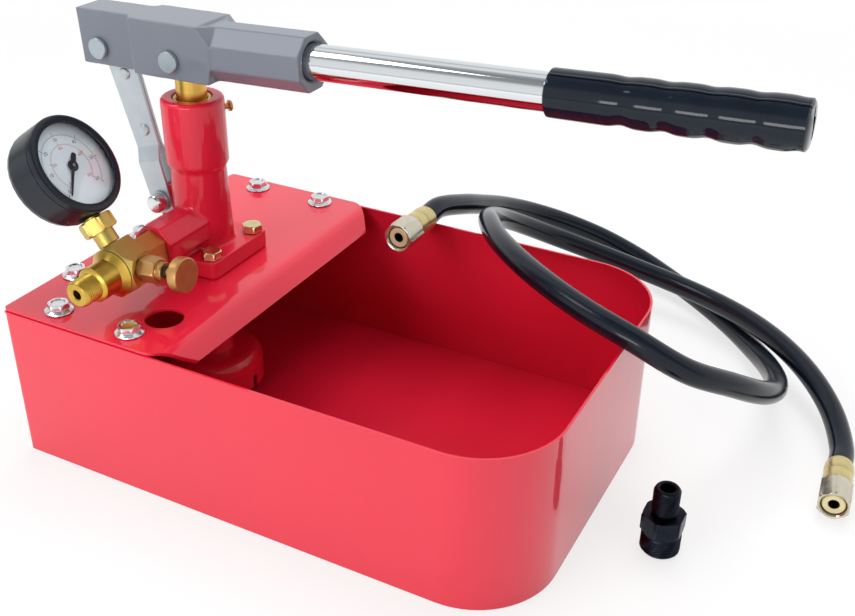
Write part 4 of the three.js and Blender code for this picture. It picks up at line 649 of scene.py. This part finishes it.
# Gauge union: a short neck and a hexagon nut of drawn brass bar, which hold the gauge's stem. The
# gauge leans to the left by 30 degrees and is turned a little on its stem.
GAUGE_LEAN, GAUGE_TURN = -pi / 6, radians(4.8)
UNION_RINGS = [
    (2.2, 8.6), (4.4, 8.6), (4.4, 15.9), (6.5, 15.9), (6.9, 16.3), (6.9, 24.3), (9.4, 24.5, 19.5),
    (10.2, 24.6, 19.5), (11.26, 25.7, 19.5), (11.26, 33.1, 19.5), (10.1, 34.0, 19.5),
    (9.3, 34.3, 19.5), (5.3, 34.3), (5.3, 26.3), (2.2, 26.3), (2.2, 8.6),
]
gauge = (valve @ Matrix.Translation((0, -0.002, 0)) @ Matrix.Rotation(GAUGE_LEAN, 4, "Y")
         @ Matrix.Rotation(GAUGE_TURN, 4, "Z"))
union = spun("gauge_union", UNION_RINGS, gauge, bar_brass)
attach(union, "pump")
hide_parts("gauge_nut")
stem = dressed("gauge_stem", "stem", bar_brass, edge=0.3)
for node in ("gauge_movement", "gauge_pressure_tube"):
    finished(node, bar_brass)

# Gauge case: deep-drawn steel with a rolled bezel that holds the glass. Both are stoved in a
# smooth blue-black enamel.
GAUGE_CENTRE = 0.0664
BEZEL_RINGS = [
    (30.3, 9.8), (31.5, 9.8), (31.7, 10.1), (31.7, 12.7), (31.4, 13.7), (30.6, 14.3), (29.6, 14.5),
    (27.3, 14.5), (26.7, 14.3), (26.4, 13.9), (26.4, 12.5), (30.3, 12.5), (30.3, 9.8),
]
black_coat = coated("Black_stove_enamel", "#121A24", "#0D141D", gloss=0.26, peel=0.02, gleam=0.0,
                    shine=0.4)
facing = gauge @ Matrix.Translation((0, 0, GAUGE_CENTRE)) @ Matrix.Rotation(pi / 2, 4, "Y")
case = dressed("gauge_case", "case", black_coat, edge=0.5, steps=3)
bezel = spun("bezel", BEZEL_RINGS, facing, black_coat)
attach(bezel, "pump")
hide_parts("gauge_bezel")

# Gauge glass: a flat clear pane under the bezel's lip. It is nearly free of marks, with only a
# breath of dust in clouds of 8 mm.
PANE_RINGS = [(0, 10.8), (30, 10.8), (30, 12.2), (0, 12.2)]
clear_pane, tree = new_material("Clear_gauge_glass")
place = add_node(tree, "ShaderNodeTexCoord")
dust = add_node(tree, "ShaderNodeTexNoise", {"Scale": 1 / 0.008, "Detail": 2.0},
                {"Vector": place.outputs["Object"]})
dull = add_node(tree, "ShaderNodeMapRange", {"To Min": 0.0, "To Max": 0.05},
                {"Value": dust.outputs["Fac"]})
surface = add_node(tree, "ShaderNodeBsdfPrincipled",
                   {"Base Color": linear("#F6FAFC"), "Transmission Weight": 1.0, "IOR": 1.45},
                   {"Roughness": dull.outputs[0]})
add_node(tree, "ShaderNodeOutputMaterial", None, {"Surface": surface.outputs[0]})
pane = spun("gauge_pane", PANE_RINGS, facing, clear_pane)
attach(pane, "pump")
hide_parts("gauge_lens")

# Dial: a white enamelled disc, screen printed with a black scale outside and a red one inside.
# The numbers are plain and generic. Sizes of the print are in mm.
DIAL_SWEEP, ARC_STEPS = 3 * pi / 2, 90
MAIN_STROKE, FINE_STROKE = 0.45, 0.22
# The print and the needle are drawn with their top up and their right to the right, then turned
# to face out of the dial
DIAL_FACING = Matrix(((0, 0, 1, 0), (1, 0, 0, 0), (0, 1, 0, 0), (0, 0, 0, 1)))
enamel = coated("White_dial_enamel", "#EEF1F4", "#E6EAEE", gloss=0.4, peel=0.0)
dial = dressed("gauge_dial", "dial", enamel, edge=0)


def printed(name, colour):
    """Screen ink: flat colour that thins a little in spots of 0.5 mm, where the mesh printed it."""
    ink, tree = new_material(name)
    place = add_node(tree, "ShaderNodeTexCoord")
    thin_ink_and_painted_shade = add_node(tree, "ShaderNodeTexNoise", {"Scale": 1 / 0.0005},
                    {"Vector": place.outputs["Object"]})
    worn = add_node(tree, "ShaderNodeMapRange", {"To Max": 0.25}, {"Value": thin_ink_and_painted_shade.outputs["Fac"]})
    tone = add_node(tree, "ShaderNodeMix",
                    {"data_type": "RGBA", 6: linear(colour), 7: linear("#8A8A90")},
                    {0: worn.outputs[0]})
    surface = add_node(tree, "ShaderNodeBsdfPrincipled", {"Roughness": 0.5},
                       {"Base Color": tone.outputs[2]})
    add_node(tree, "ShaderNodeOutputMaterial", None, {"Surface": surface.outputs[0]})
    return ink


def dial_print(name, ink, radius, labels, size, minor, tick):
    """A printed scale: an arc, its ticks and its numbers, raised 0.05 mm off the dial."""
    build = bmesh.new()

    def bar(turn, near, far, width):
        side = Vector((cos(turn), -sin(turn))) * width / 2
        out = Vector((sin(turn), cos(turn)))
        corners = [out * near - side, out * near + side, out * far + side, out * far - side]
        build.faces.new([build.verts.new((c.x / 1000, c.y / 1000, 0)) for c in corners])

    for i in range(ARC_STEPS):
        a, b = [-DIAL_SWEEP / 2 + DIAL_SWEEP * step / ARC_STEPS for step in (i, i + 1)]
        ring = [(radius - 0.1, a), (radius + 0.1, a), (radius + 0.1, b), (radius - 0.1, b)]
        build.faces.new([
            build.verts.new((r * sin(t) / 1000, r * cos(t) / 1000, 0)) for r, t in ring
        ])
    for i in range(minor + 1):
        main = i % (minor // (len(labels) - 1)) == 0
        turn = -DIAL_SWEEP / 2 + DIAL_SWEEP * i / minor
        far = radius + (tick if main else tick * 0.55)
        bar(turn, radius, far, MAIN_STROKE if main else FINE_STROKE)
    for i, label in enumerate(labels):
        text = bpy.data.curves.new("number", "FONT")
        text.body = label
        text.size = size / 1000
        text.align_x = "CENTER"
        text.align_y = "CENTER"
        held = bpy.data.objects.new("number", text)
        shape = bpy.data.meshes.new_from_object(held)
        turn = -DIAL_SWEEP / 2 + DIAL_SWEEP * i / (len(labels) - 1)
        inner = radius - size * 0.75
        shape.transform(Matrix.Translation((inner * sin(turn) / 1000, inner * cos(turn) / 1000, 0)))
        build.from_mesh(shape)
        bpy.data.objects.remove(held)
        bpy.data.meshes.remove(shape)
        bpy.data.curves.remove(text)
    mesh = bpy.data.meshes.new(name)
    build.to_mesh(mesh)
    build.free()
    mesh.transform(gauge @ Matrix.Translation((0.00795, 0, GAUGE_CENTRE)) @ DIAL_FACING)
    mesh.materials.append(ink)
    made = placed(name, mesh)
    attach(made, "pump")


black_ink = printed("Black_screen_ink", "#14161C")
red_ink = printed("Red_screen_ink", "#C8323C")
dial_print("outer_scale", black_ink, radius=20.6, labels=["0", "10", "20", "30", "40", "50", "60"],
           size=3.4, minor=60, tick=2.2)
dial_print("inner_scale", red_ink, radius=14.4, labels=["0", "200", "400", "600", "800"],
           size=2.6, minor=40, tick=1.4)

# Needle: a stamped pointer on a turned hub, both black, held by a bright steel pin. It lies near
# zero, at the lower left. Its blade is 0.6 mm thick and drawn in mm.
NEEDLE_TURN, BLADE_THICKNESS = radians(222), 0.0006
BLADE_OUTLINE = [
    (-1.6, -7.8), (-1.3, -8.8), (0, -9.2), (1.3, -8.8), (1.6, -7.8), (1.5, 0), (0.95, 2), (0.4, 20),
    (0, 21), (-0.4, 20), (-0.95, 2), (-1.5, 0),
]
HUB_RINGS = [
    (0.9, -3.5), (0.9, 0), (3.5, 0), (3.6, 0.3), (3.4, 0.9), (2.1, 1.1), (2.0, 1.4), (0, 1.45),
]
NEEDLE_PIN_RINGS = [(0.2, 1.3), (1.3, 1.3), (1.2, 1.5), (0, 1.5)]
needle_at = (gauge @ Matrix.Translation((0.0089, 0, GAUGE_CENTRE)) @ DIAL_FACING
             @ Matrix.Rotation(-NEEDLE_TURN, 4, "Z"))
needle_build = bmesh.new()
low, high = [
    [needle_build.verts.new((x / 1000, y / 1000, z)) for x, y in BLADE_OUTLINE]
    for z in (0, BLADE_THICKNESS)
]
needle_build.faces.new(high)
needle_build.faces.new(low[::-1])
for i in range(len(BLADE_OUTLINE)):
    j = (i + 1) % len(BLADE_OUTLINE)
    needle_build.faces.new((low[i], low[j], high[j], high[i]))
needle_mesh = bpy.data.meshes.new("needle_blade")
needle_build.to_mesh(needle_mesh)
needle_build.free()
needle_mesh.transform(needle_at)
needle_mesh.materials.append(black_coat)
needle_blade = placed("needle_blade", needle_mesh)
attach(needle_blade, "needle")
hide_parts("gauge_needle")
needle_cap = spun("needle_hub", HUB_RINGS, needle_at, black_coat, 48)
needle_pin = spun("needle_pin", NEEDLE_PIN_RINGS, needle_at, bright_zinc, 32)
for made in (needle_cap, needle_pin):
    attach(made, "needle")

# Links: two 2 mm steel straps, blanked and joggled, riveted together above the pump's lug. They are
# bare rolled steel with a satin zinc flash, and rolling lines along them, drawn 0.5 mm apart.
LUG = Vector((-0.1415, 0, 0.1418))
PIN_PITCH, PIN_DROP, LEVER_TILT = 0.0598, 0.0009, radians(2.57)
REAR_PIN_HEIGHT = 0.2434
ROLLING_GAP, STRAP_SLOPE = 0.0005, radians(16.6)
RIVET_RINGS = [
    (0, -3.9), (1.8, -3.85), (3.2, -3.5), (4, -2.6), (2.5, -2.6), (2.5, 2.6), (4, 2.6), (3.2, 3.5),
    (1.8, 3.85), (0, 3.9),
]
strap_steel, tree = new_material("Zinc_flashed_strip_steel")
place = add_node(tree, "ShaderNodeTexCoord")
rolled = add_node(tree, "ShaderNodeMapping",
                  {"Rotation": (0, STRAP_SLOPE, 0),
                   "Scale": (1 / ROLLING_GAP, 1 / ROLLING_GAP, 60.0)},
                  {"Vector": place.outputs["Object"]})
lines = add_node(tree, "ShaderNodeTexNoise", {"Scale": 1.0, "Detail": 2.0},
                 {"Vector": rolled.outputs[0]})
cloud = add_node(tree, "ShaderNodeTexNoise", {"Scale": 1 / 0.012, "Detail": 2.0},
                 {"Vector": place.outputs["Object"]})
tone = add_node(tree, "ShaderNodeMix",
                {"data_type": "RGBA", 6: linear("#B4BEC4"), 7: linear("#CCD4D8")},
                {0: cloud.outputs["Fac"]})
dull = add_node(tree, "ShaderNodeMapRange", {"To Min": 0.36, "To Max": 0.5},
                {"Value": lines.outputs["Fac"]})
rise = add_node(tree, "ShaderNodeBump", {"Strength": 0.05, "Distance": 0.00005},
                {"Height": lines.outputs["Fac"]})
surface = add_node(tree, "ShaderNodeBsdfPrincipled", {"Metallic": 0.85},
                   {"Base Color": tone.outputs[2], "Roughness": dull.outputs[0],
                    "Normal": rise.outputs[0]})
add_node(tree, "ShaderNodeOutputMaterial", None, {"Surface": surface.outputs[0]})
for node, name in (("link_strap_near", "near_strap"), ("link_strap_far", "far_strap")):
    dressed(node, name, strap_steel, edge=0.5, steps=3, crease=12)
pin_rear = Vector((
    BARREL_X - PIN_PITCH * cos(LEVER_TILT) - PIN_DROP * sin(LEVER_TILT), 0, REAR_PIN_HEIGHT,
))
link_length = (pin_rear - LUG).length
link_tilt = atan2(LUG.x - pin_rear.x, pin_rear.z - LUG.z)
link_at = Matrix.Translation(LUG) @ Matrix.Rotation(-link_tilt, 4, "Y")
for name, node, up in (
    ("lower_rivet", "link_rivet_lower", 0.0481),
    ("upper_rivet", "link_rivet_upper", link_length - 0.0201),
):
    rivet_at = link_at @ Matrix.Translation((0.0032, 0, up)) @ Matrix.Rotation(pi / 2, 4, "X")
    rivet = spun(name, RIVET_RINGS, rivet_at, strap_steel, 48)
    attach(rivet, "link")
    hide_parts(node)

# Lower pin: a turned steel pin with a long rounded head over a spring washer, zinc plated. It goes
# through the straps and the pump's lug.
LOWER_PIN_RINGS = [
    (0, 14.8), (4.6, 14.8), (5.1, 14.55), (6.1, 13.4), (6.3, 12.9), (6.3, 8.4), (6.0, 8.2),
    (4, 8.2), (4, -6.4), (5.9, -6.4), (6.3, -6.8), (6.3, -8.9), (5.7, -9.4), (0, -9.4),
]
WASHER_RINGS = [(4.3, 6.4), (7.0, 6.4), (7.2, 6.6), (7.2, 7.7), (7.0, 7.9), (4.3, 7.9), (4.3, 6.4)]
across = Matrix.Translation(LUG) @ Matrix.Rotation(pi / 2, 4, "X")
lower_pin = spun("lower_pin", LOWER_PIN_RINGS, across, bright_zinc)
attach(lower_pin, "pump")
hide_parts("link_pin")
lower_washer = spun("lower_washer", WASHER_RINGS, across, strap_steel)
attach(lower_washer, "pump")
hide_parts("link_washer")

# Lever head: an iron casting sprayed grey, slotted for the links and with an eight-sided socket.
# A small slope joins the head's block to the socket's top on each side.
SLOPE_CORNERS = [
    (82, 17.5, 21.8), (90, 17.5, 12), (88.5, 6.9, 20.35), (82, 6.9, 20.35), (82, 17.5, 12),
    (82, 6.9, 12), (89.9, 10, 12),
]
grey_coat = coated("Grey_machine_enamel", "#737883", "#6A6F7A", gloss=0.45, peel=0.05, gleam=0.6)
lever = Matrix.Translation(pin_rear) @ Matrix.Rotation(-LEVER_TILT, 4, "Y")
slopes = [
    [lever @ (Vector((x, side * y, z)) / 1000) for x, y, z in SLOPE_CORNERS] for side in (-1, 1)
]
head = cast("lever_head", "lever_casting", grey_coat, grain=0.65, melt=4, lumps=slopes)

# Lever pins: plain turned steel pins with a flat head at each end, in a duller zinc than the bolts.
# The rear one carries the links, the front one the plunger.
dull_zinc = plated("Dull_zinc_plated_steel", "#B9C4CA", "#A2AEB5", gloss=0.36, ring_lift=0.03,
                   metal=0.85)
for name, node, seat, along, up in (
    ("rear_pin_turned", "rear_pin", 12.6, 0.0, 0.0),
    ("front_pin_turned", "front_pin", 17.8, PIN_PITCH, -PIN_DROP),
):
    pin = spun(
        name,
        [(0, -seat - 3), (6.2, -seat - 3), (6.75, -seat - 2.5), (6.75, -seat - 0.3), (6.45, -seat),
         (4, -seat), (4, seat), (6.45, seat), (6.75, seat + 0.3), (6.75, seat + 2.5),
         (6.2, seat + 3), (0, seat + 3)],
        lever @ Matrix.Translation((along, 0, up)) @ Matrix.Rotation(pi / 2, 4, "X"), dull_zinc,
    )
    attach(pin, "lever")
    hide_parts(node)

# Handle: half-inch steel pipe, pushed into the lever's socket, polished and chromium plated. Faint
# draw lines run along it under the plate, drawn 0.6 mm apart.
HANDLE_RISE, PIPE_DRAW_GAP = 0.0043, 0.0006
PIPE_BORE, PIPE_RADIUS, PIPE_START, PIPE_END = 9.05, 10.65, 93.2, 429.5
chrome_plate, tree = new_material("Chromium_plated_pipe")
place = add_node(tree, "ShaderNodeTexCoord")
drawn = add_node(tree, "ShaderNodeMapping", {"Scale": (12.0, 1 / PIPE_DRAW_GAP, 1 / PIPE_DRAW_GAP)},
                 {"Vector": place.outputs["Object"]})
lines = add_node(tree, "ShaderNodeTexNoise", {"Scale": 1.0, "Detail": 2.0},
                 {"Vector": drawn.outputs[0]})
dull = add_node(tree, "ShaderNodeMapRange", {"To Min": 0.03, "To Max": 0.12},
                {"Value": lines.outputs["Fac"]})
rise = add_node(tree, "ShaderNodeBump", {"Strength": 0.02, "Distance": 0.00005},
                {"Height": lines.outputs["Fac"]})
surface = add_node(tree, "ShaderNodeBsdfPrincipled",
                   {"Metallic": 1.0, "Base Color": linear("#DDE1E4")},
                   {"Roughness": dull.outputs[0], "Normal": rise.outputs[0]})
add_node(tree, "ShaderNodeOutputMaterial", None, {"Surface": surface.outputs[0]})
pipe_rings = [(PIPE_BORE, PIPE_START)]
pipe_rings += [(PIPE_RADIUS, along) for along in (PIPE_START, 200, 300, PIPE_END)]
pipe_rings += [(PIPE_BORE, PIPE_END), (PIPE_BORE, PIPE_START)]
tube_at = lever @ Matrix.Translation((0, 0, HANDLE_RISE)) @ Matrix.Rotation(pi / 2, 4, "Y")
pipe = spun("handle_pipe", pipe_rings, tube_at, chrome_plate)
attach(pipe, "lever")
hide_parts("handle_tube")

# Grip: moulded soft PVC, glossy black, with four finger hollows. The mould's parting line runs
# along it, a little turned toward the photographer, and its end has the torn scar of the mould's
# gate. Its surface waves every 15 mm, with a grain drawn at 1.2 mm. Sizes are in mm.
soft_pvc, tree = new_material("Glossy_moulded_PVC")
place = add_node(tree, "ShaderNodeTexCoord")
cloud = add_node(tree, "ShaderNodeTexNoise", {"Scale": 1 / 0.015, "Detail": 2.0},
                 {"Vector": place.outputs["Object"]})
grain = add_node(tree, "ShaderNodeTexNoise", {"Scale": 1 / 0.0012, "Detail": 2.0},
                 {"Vector": place.outputs["Object"]})
tone = add_node(tree, "ShaderNodeMix",
                {"data_type": "RGBA", 6: linear("#0A121D"), 7: linear("#111C29")},
                {0: cloud.outputs["Fac"]})
dull = add_node(tree, "ShaderNodeMapRange", {"To Min": 0.05, "To Max": 0.11},
                {"Value": cloud.outputs["Fac"]})
rise = add_node(tree, "ShaderNodeBump", {"Strength": 0.05, "Distance": 0.0001},
                {"Height": grain.outputs["Fac"]})
surface = add_node(tree, "ShaderNodeBsdfPrincipled", {"IOR": 1.53, "Specular IOR Level": 0.28},
                   {"Base Color": tone.outputs[2], "Roughness": dull.outputs[0],
                    "Normal": rise.outputs[0]})
add_node(tree, "ShaderNodeOutputMaterial", None, {"Surface": surface.outputs[0]})

GRIP_SIDES, GRIP_ROWS = 144, 148
GRIP_START, GRIP_LENGTH, GRIP_BORE, GRIP_BORE_END = 299.8, 134.0, 10.95, 429.8
END_ROUNDING, FIRST_HOLLOW, HOLLOW_GAP, HOLLOW_DEPTH = 1.6, 18.6, 22.4, 1.3
# How far the parting line stands out or falls back, by the side of the grip that it runs on
SEAM = {10: 0.3, 11: -0.9, 12: -0.6, 82: 0.3, 83: -0.9, 84: -0.6}
SCAR = [
    (3.2, 8.0), (5.6, 8.6), (6.4, 3.0), (9.6, 1.2), (8.2, -2.4), (7.4, -7.6), (4.2, -9.4),
    (4.6, -3.0), (3.0, 1.4),
]
SCAR_FLOOR = 431.0
grip_build = bmesh.new()
grip_rows = []
for k in range(GRIP_ROWS + 1):
    along = GRIP_LENGTH * k / GRIP_ROWS
    plain = 13.2 + 0.7 * along / GRIP_LENGTH
    from_end = min(along, GRIP_LENGTH - along)
    if from_end < END_ROUNDING:
        plain -= END_ROUNDING - (END_ROUNDING**2 - (END_ROUNDING - from_end) ** 2) ** 0.5
    phase = (along - FIRST_HOLLOW) / HOLLOW_GAP
    pinch = cos(pi * phase) ** 4 if phase > 0.5 else 0.0
    row = []
    for i in range(GRIP_SIDES):
        turn = 2 * pi * i / GRIP_SIDES
        lower = max(0.0, -cos(turn))
        reach = plain - HOLLOW_DEPTH * pinch * (1 + lower) / 2
        reach += SEAM.get(i, 0.0)
        row.append(grip_build.verts.new(
            ((GRIP_START + along) / 1000, -reach * sin(turn) / 1000, reach * cos(turn) / 1000)
        ))
    grip_rows.append(row)
for first, second in zip(grip_rows, grip_rows[1:]):
    for i in range(GRIP_SIDES):
        j = (i + 1) % GRIP_SIDES
        grip_build.faces.new((first[i], first[j], second[j], second[i]))
mouth = []
for i in range(GRIP_SIDES):
    turn = 2 * pi * i / GRIP_SIDES
    mouth.append([
        grip_build.verts.new((x / 1000, GRIP_BORE * sin(turn) / 1000, GRIP_BORE * cos(turn) / 1000))
        for x in (GRIP_START, GRIP_BORE_END)
    ])
for i in range(GRIP_SIDES):
    j = (i + 1) % GRIP_SIDES
    grip_build.faces.new((grip_rows[0][j], grip_rows[0][i], mouth[i][0], mouth[j][0]))
    grip_build.faces.new((mouth[j][0], mouth[i][0], mouth[i][1], mouth[j][1]))
grip_build.faces.new([mouth[i][1] for i in range(GRIP_SIDES)])
scar_rim, scar_floor = [
    [grip_build.verts.new((x / 1000, y / 1000, z / 1000)) for y, z in SCAR]
    for x in (GRIP_START + GRIP_LENGTH, SCAR_FLOOR)
]
rims = []
for loop in (scar_rim, grip_rows[-1]):
    for near, far in zip(loop, loop[1:] + loop[:1]):
        rims.append(grip_build.edges.get((near, far)) or grip_build.edges.new((near, far)))
bmesh.ops.triangle_fill(grip_build, edges=rims, use_beauty=True)
for i in range(len(SCAR)):
    j = (i + 1) % len(SCAR)
    grip_build.faces.new((scar_rim[i], scar_rim[j], scar_floor[j], scar_floor[i]))
grip_build.faces.new(scar_floor)
bmesh.ops.recalc_face_normals(grip_build, faces=grip_build.faces)
grip_mesh = bpy.data.meshes.new("grip")
grip_build.to_mesh(grip_mesh)
grip_build.free()
grip_mesh.transform(lever @ Matrix.Translation((0, 0, HANDLE_RISE)))
smoothed(grip_mesh, 40)
grip_mesh.materials.append(soft_pvc)
grip = placed("grip", grip_mesh)
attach(grip, "lever")
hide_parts("handle_grip")

# Adapter: free-cutting steel, turned and blackened, with a coarse pipe thread below, a finer one on
# top and a hexagon between them. It stands loose on the floor.
ADAPTER_PLACE = (0.2234, -0.0175, 0)
COARSE_PITCH, COARSE_STEP = 1.81, 0.23
black_oxide = plated("Blackened_steel", "#2A2F3A", "#171A21", gloss=0.32, ring_gap=0.0004,
                     ring_lift=0.12)
adapter_rings = [(4.5, 0), (10.2, 0), (10.6, 0.2)]
adapter_rings += [(12, 1.2 + COARSE_STEP * i, None, (COARSE_PITCH, 0.75)) for i in range(49)]
adapter_rings += [
    (10.9, 12.9), (10.9, 14.6), (11.6, 15.0, 23.5), (12.6, 15.1, 23.5), (13.57, 16.2, 23.5),
    (13.57, 25.8, 23.5), (12.5, 26.9, 23.5), (11.6, 27.0), (7.3, 27.0), (7.3, 28.6),
]
adapter_rings += [(8, 29 + TURN_STEP * i, None, (PIPE_PITCH, 0.6)) for i in range(88)]
adapter_rings += [(7.4, 44.3), (6.7, 45.3), (6.4, 45.5), (5.0, 45.5), (4.5, 45.0), (4.5, 0)]
adapter = spun("loose_adapter", adapter_rings, Matrix.Translation(ADAPTER_PLACE), black_oxide)
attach(adapter, "adapter")
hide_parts("hose_adapter")

# Studio: a white floor that keeps a pale shadow, and a white surround. Most softboxes only light
# the pump. Polished pieces mirror a strip light in front, a softbox high on the left and the
# surround.
FLOOR_HALF, FLOOR_DROP = 6, -0.0004
floor_mesh = bpy.data.meshes.new("floor")
floor_signs = ((-1, -1), (1, -1), (1, 1), (-1, 1))
floor_corners = [(x * FLOOR_HALF, y * FLOOR_HALF, 0) for x, y in floor_signs]
floor_mesh.from_pydata(floor_corners, [], [(0, 1, 2, 3)])
floor = placed("floor", floor_mesh)
floor.location.z = FLOOR_DROP

# White paper: to the camera it adds a light of its own, more so further out, where no lamp reaches
paper, tree = new_material("White_studio_paper")
ray = add_node(tree, "ShaderNodeLightPath")
seen = add_node(tree, "ShaderNodeMath", {"operation": "MAXIMUM"},
                {0: ray.outputs["Is Camera Ray"], 1: ray.outputs["Is Transmission Ray"]})
dimmed = add_node(tree, "ShaderNodeMath", {"operation": "MULTIPLY", 1: 0.6},
                  {0: ray.outputs["Is Glossy Ray"]})
spot = add_node(tree, "ShaderNodeNewGeometry")
away = add_node(tree, "ShaderNodeVectorMath", {"operation": "LENGTH"},
                {0: spot.outputs["Position"]})
own_light = add_node(tree, "ShaderNodeMapRange",
                     {"From Min": 0.35, "From Max": 1.3, "To Min": 0.72, "To Max": 1.0},
                     {"Value": away.outputs["Value"]})
share = add_node(tree, "ShaderNodeMath", {"operation": "MULTIPLY_ADD"},
                 {0: seen.outputs[0], 1: own_light.outputs[0], 2: dimmed.outputs[0]})
matt = add_node(tree, "ShaderNodeBsdfDiffuse", {"Color": linear("#F2F2F2")})
glow = add_node(tree, "ShaderNodeEmission", {"Color": (1, 1, 1, 1), "Strength": 1.0})
mixed = add_node(tree, "ShaderNodeMixShader", None,
                 {0: share.outputs[0], 1: matt.outputs[0], 2: glow.outputs[0]})
add_node(tree, "ShaderNodeOutputMaterial", None, {"Surface": mixed.outputs[0]})
floor_mesh.materials.append(paper)

# Surround: white to the camera. In mirrors it has paler and darker bands, each set by its angle in
# degrees from the horizon behind the pump, over the top, to the horizon in front
HORIZON_BEHIND, HORIZON_FRONT = (0.96, 0.97, 0.98, 1), (0.95, 0.95, 0.95, 1)
MIRRORED_BANDS = (
    (48, 0.95), (55, 0.5), (61, 0.85), (78, 0.95), (88, 0.45), (105, 0.28), (132, 0.36), (146, 0.9),
)
world = bpy.data.worlds.new("Studio")
bpy.context.scene.world = world
world.use_nodes = True
tree = world.node_tree
tree.nodes.clear()
place = add_node(tree, "ShaderNodeTexCoord")
way = add_node(tree, "ShaderNodeSeparateXYZ", None, {0: place.outputs["Generated"]})
over = add_node(tree, "ShaderNodeMath", {"operation": "ARCTAN2"},
                {0: way.outputs["Z"], 1: way.outputs["Y"]})
spread = add_node(tree, "ShaderNodeMath", {"operation": "DIVIDE", 1: pi}, {0: over.outputs[0]})
mirrored = add_node(tree, "ShaderNodeValToRGB", None, {0: spread.outputs[0]})
bands = mirrored.color_ramp.elements
bands[0].position, bands[0].color = 0.0, HORIZON_BEHIND
bands[1].position, bands[1].color = 1.0, HORIZON_FRONT
for turn, white in MIRRORED_BANDS:
    bands.new(turn / 180).color = (white * 0.985, white * 0.993, white, 1)
ray = add_node(tree, "ShaderNodeLightPath")
seen = add_node(tree, "ShaderNodeMath", {"operation": "MAXIMUM"},
                {0: ray.outputs["Is Camera Ray"], 1: ray.outputs["Is Transmission Ray"]})
ambient = add_node(tree, "ShaderNodeMix", {"data_type": "RGBA", 6: (0.25, 0.25, 0.25, 1)},
                   {0: ray.outputs["Is Glossy Ray"], 7: mirrored.outputs[0]})
level = add_node(tree, "ShaderNodeMix", {"data_type": "RGBA", 7: (1, 1, 1, 1)},
                 {0: seen.outputs[0], 6: ambient.outputs[2]})
glow = add_node(tree, "ShaderNodeBackground", {"Strength": 1.0}, {"Color": level.outputs[2]})
add_node(tree, "ShaderNodeOutputWorld", None, {"Surface": glow.outputs[0]})

# Softboxes: where each hangs and points, its width and depth in metres, its power in watts, and
# whether polished pieces mirror it
for name, spot, target, width, depth, power, in_mirrors in (
    ("Key softbox", (-0.7, -1.2, 1.0), (0, 0, 0.08), 1.1, 1.1, 13.6, False),
    ("Front strip light", (0.1, -1.5, 0.4), (0, 0, 0.1), 0.85, 0.28, 5.4, True),
    ("High softbox", (-1.0, -0.5, 1.5), (-0.1, 0, 0.1), 0.6, 0.6, 4.0, True),
    ("Top softbox", (0.1, 0.5, 1.6), (0, 0, 0.1), 1.2, 1.2, 19.0, False),
    ("Rear softbox", (-1.1, 2.0, 1.2), (-0.1, 0, 0.1), 1.8, 1.8, 12.0, False),
    ("Right softbox", (1.3, -0.5, 0.7), (0, 0, 0.1), 0.8, 0.8, 3.0, False),
):
    lamp = bpy.data.lights.new(name, "AREA")
    lamp.shape = "RECTANGLE"
    lamp.size = width
    lamp.size_y = depth
    lamp.energy = power
    made = placed(name, lamp)
    made.location = spot
    made.visible_glossy = in_mirrors
    made.rotation_euler = (Vector(target) - Vector(spot)).to_track_quat("-Z", "Y").to_euler()

bpy.context.scene.view_settings.view_transform = "Standard"
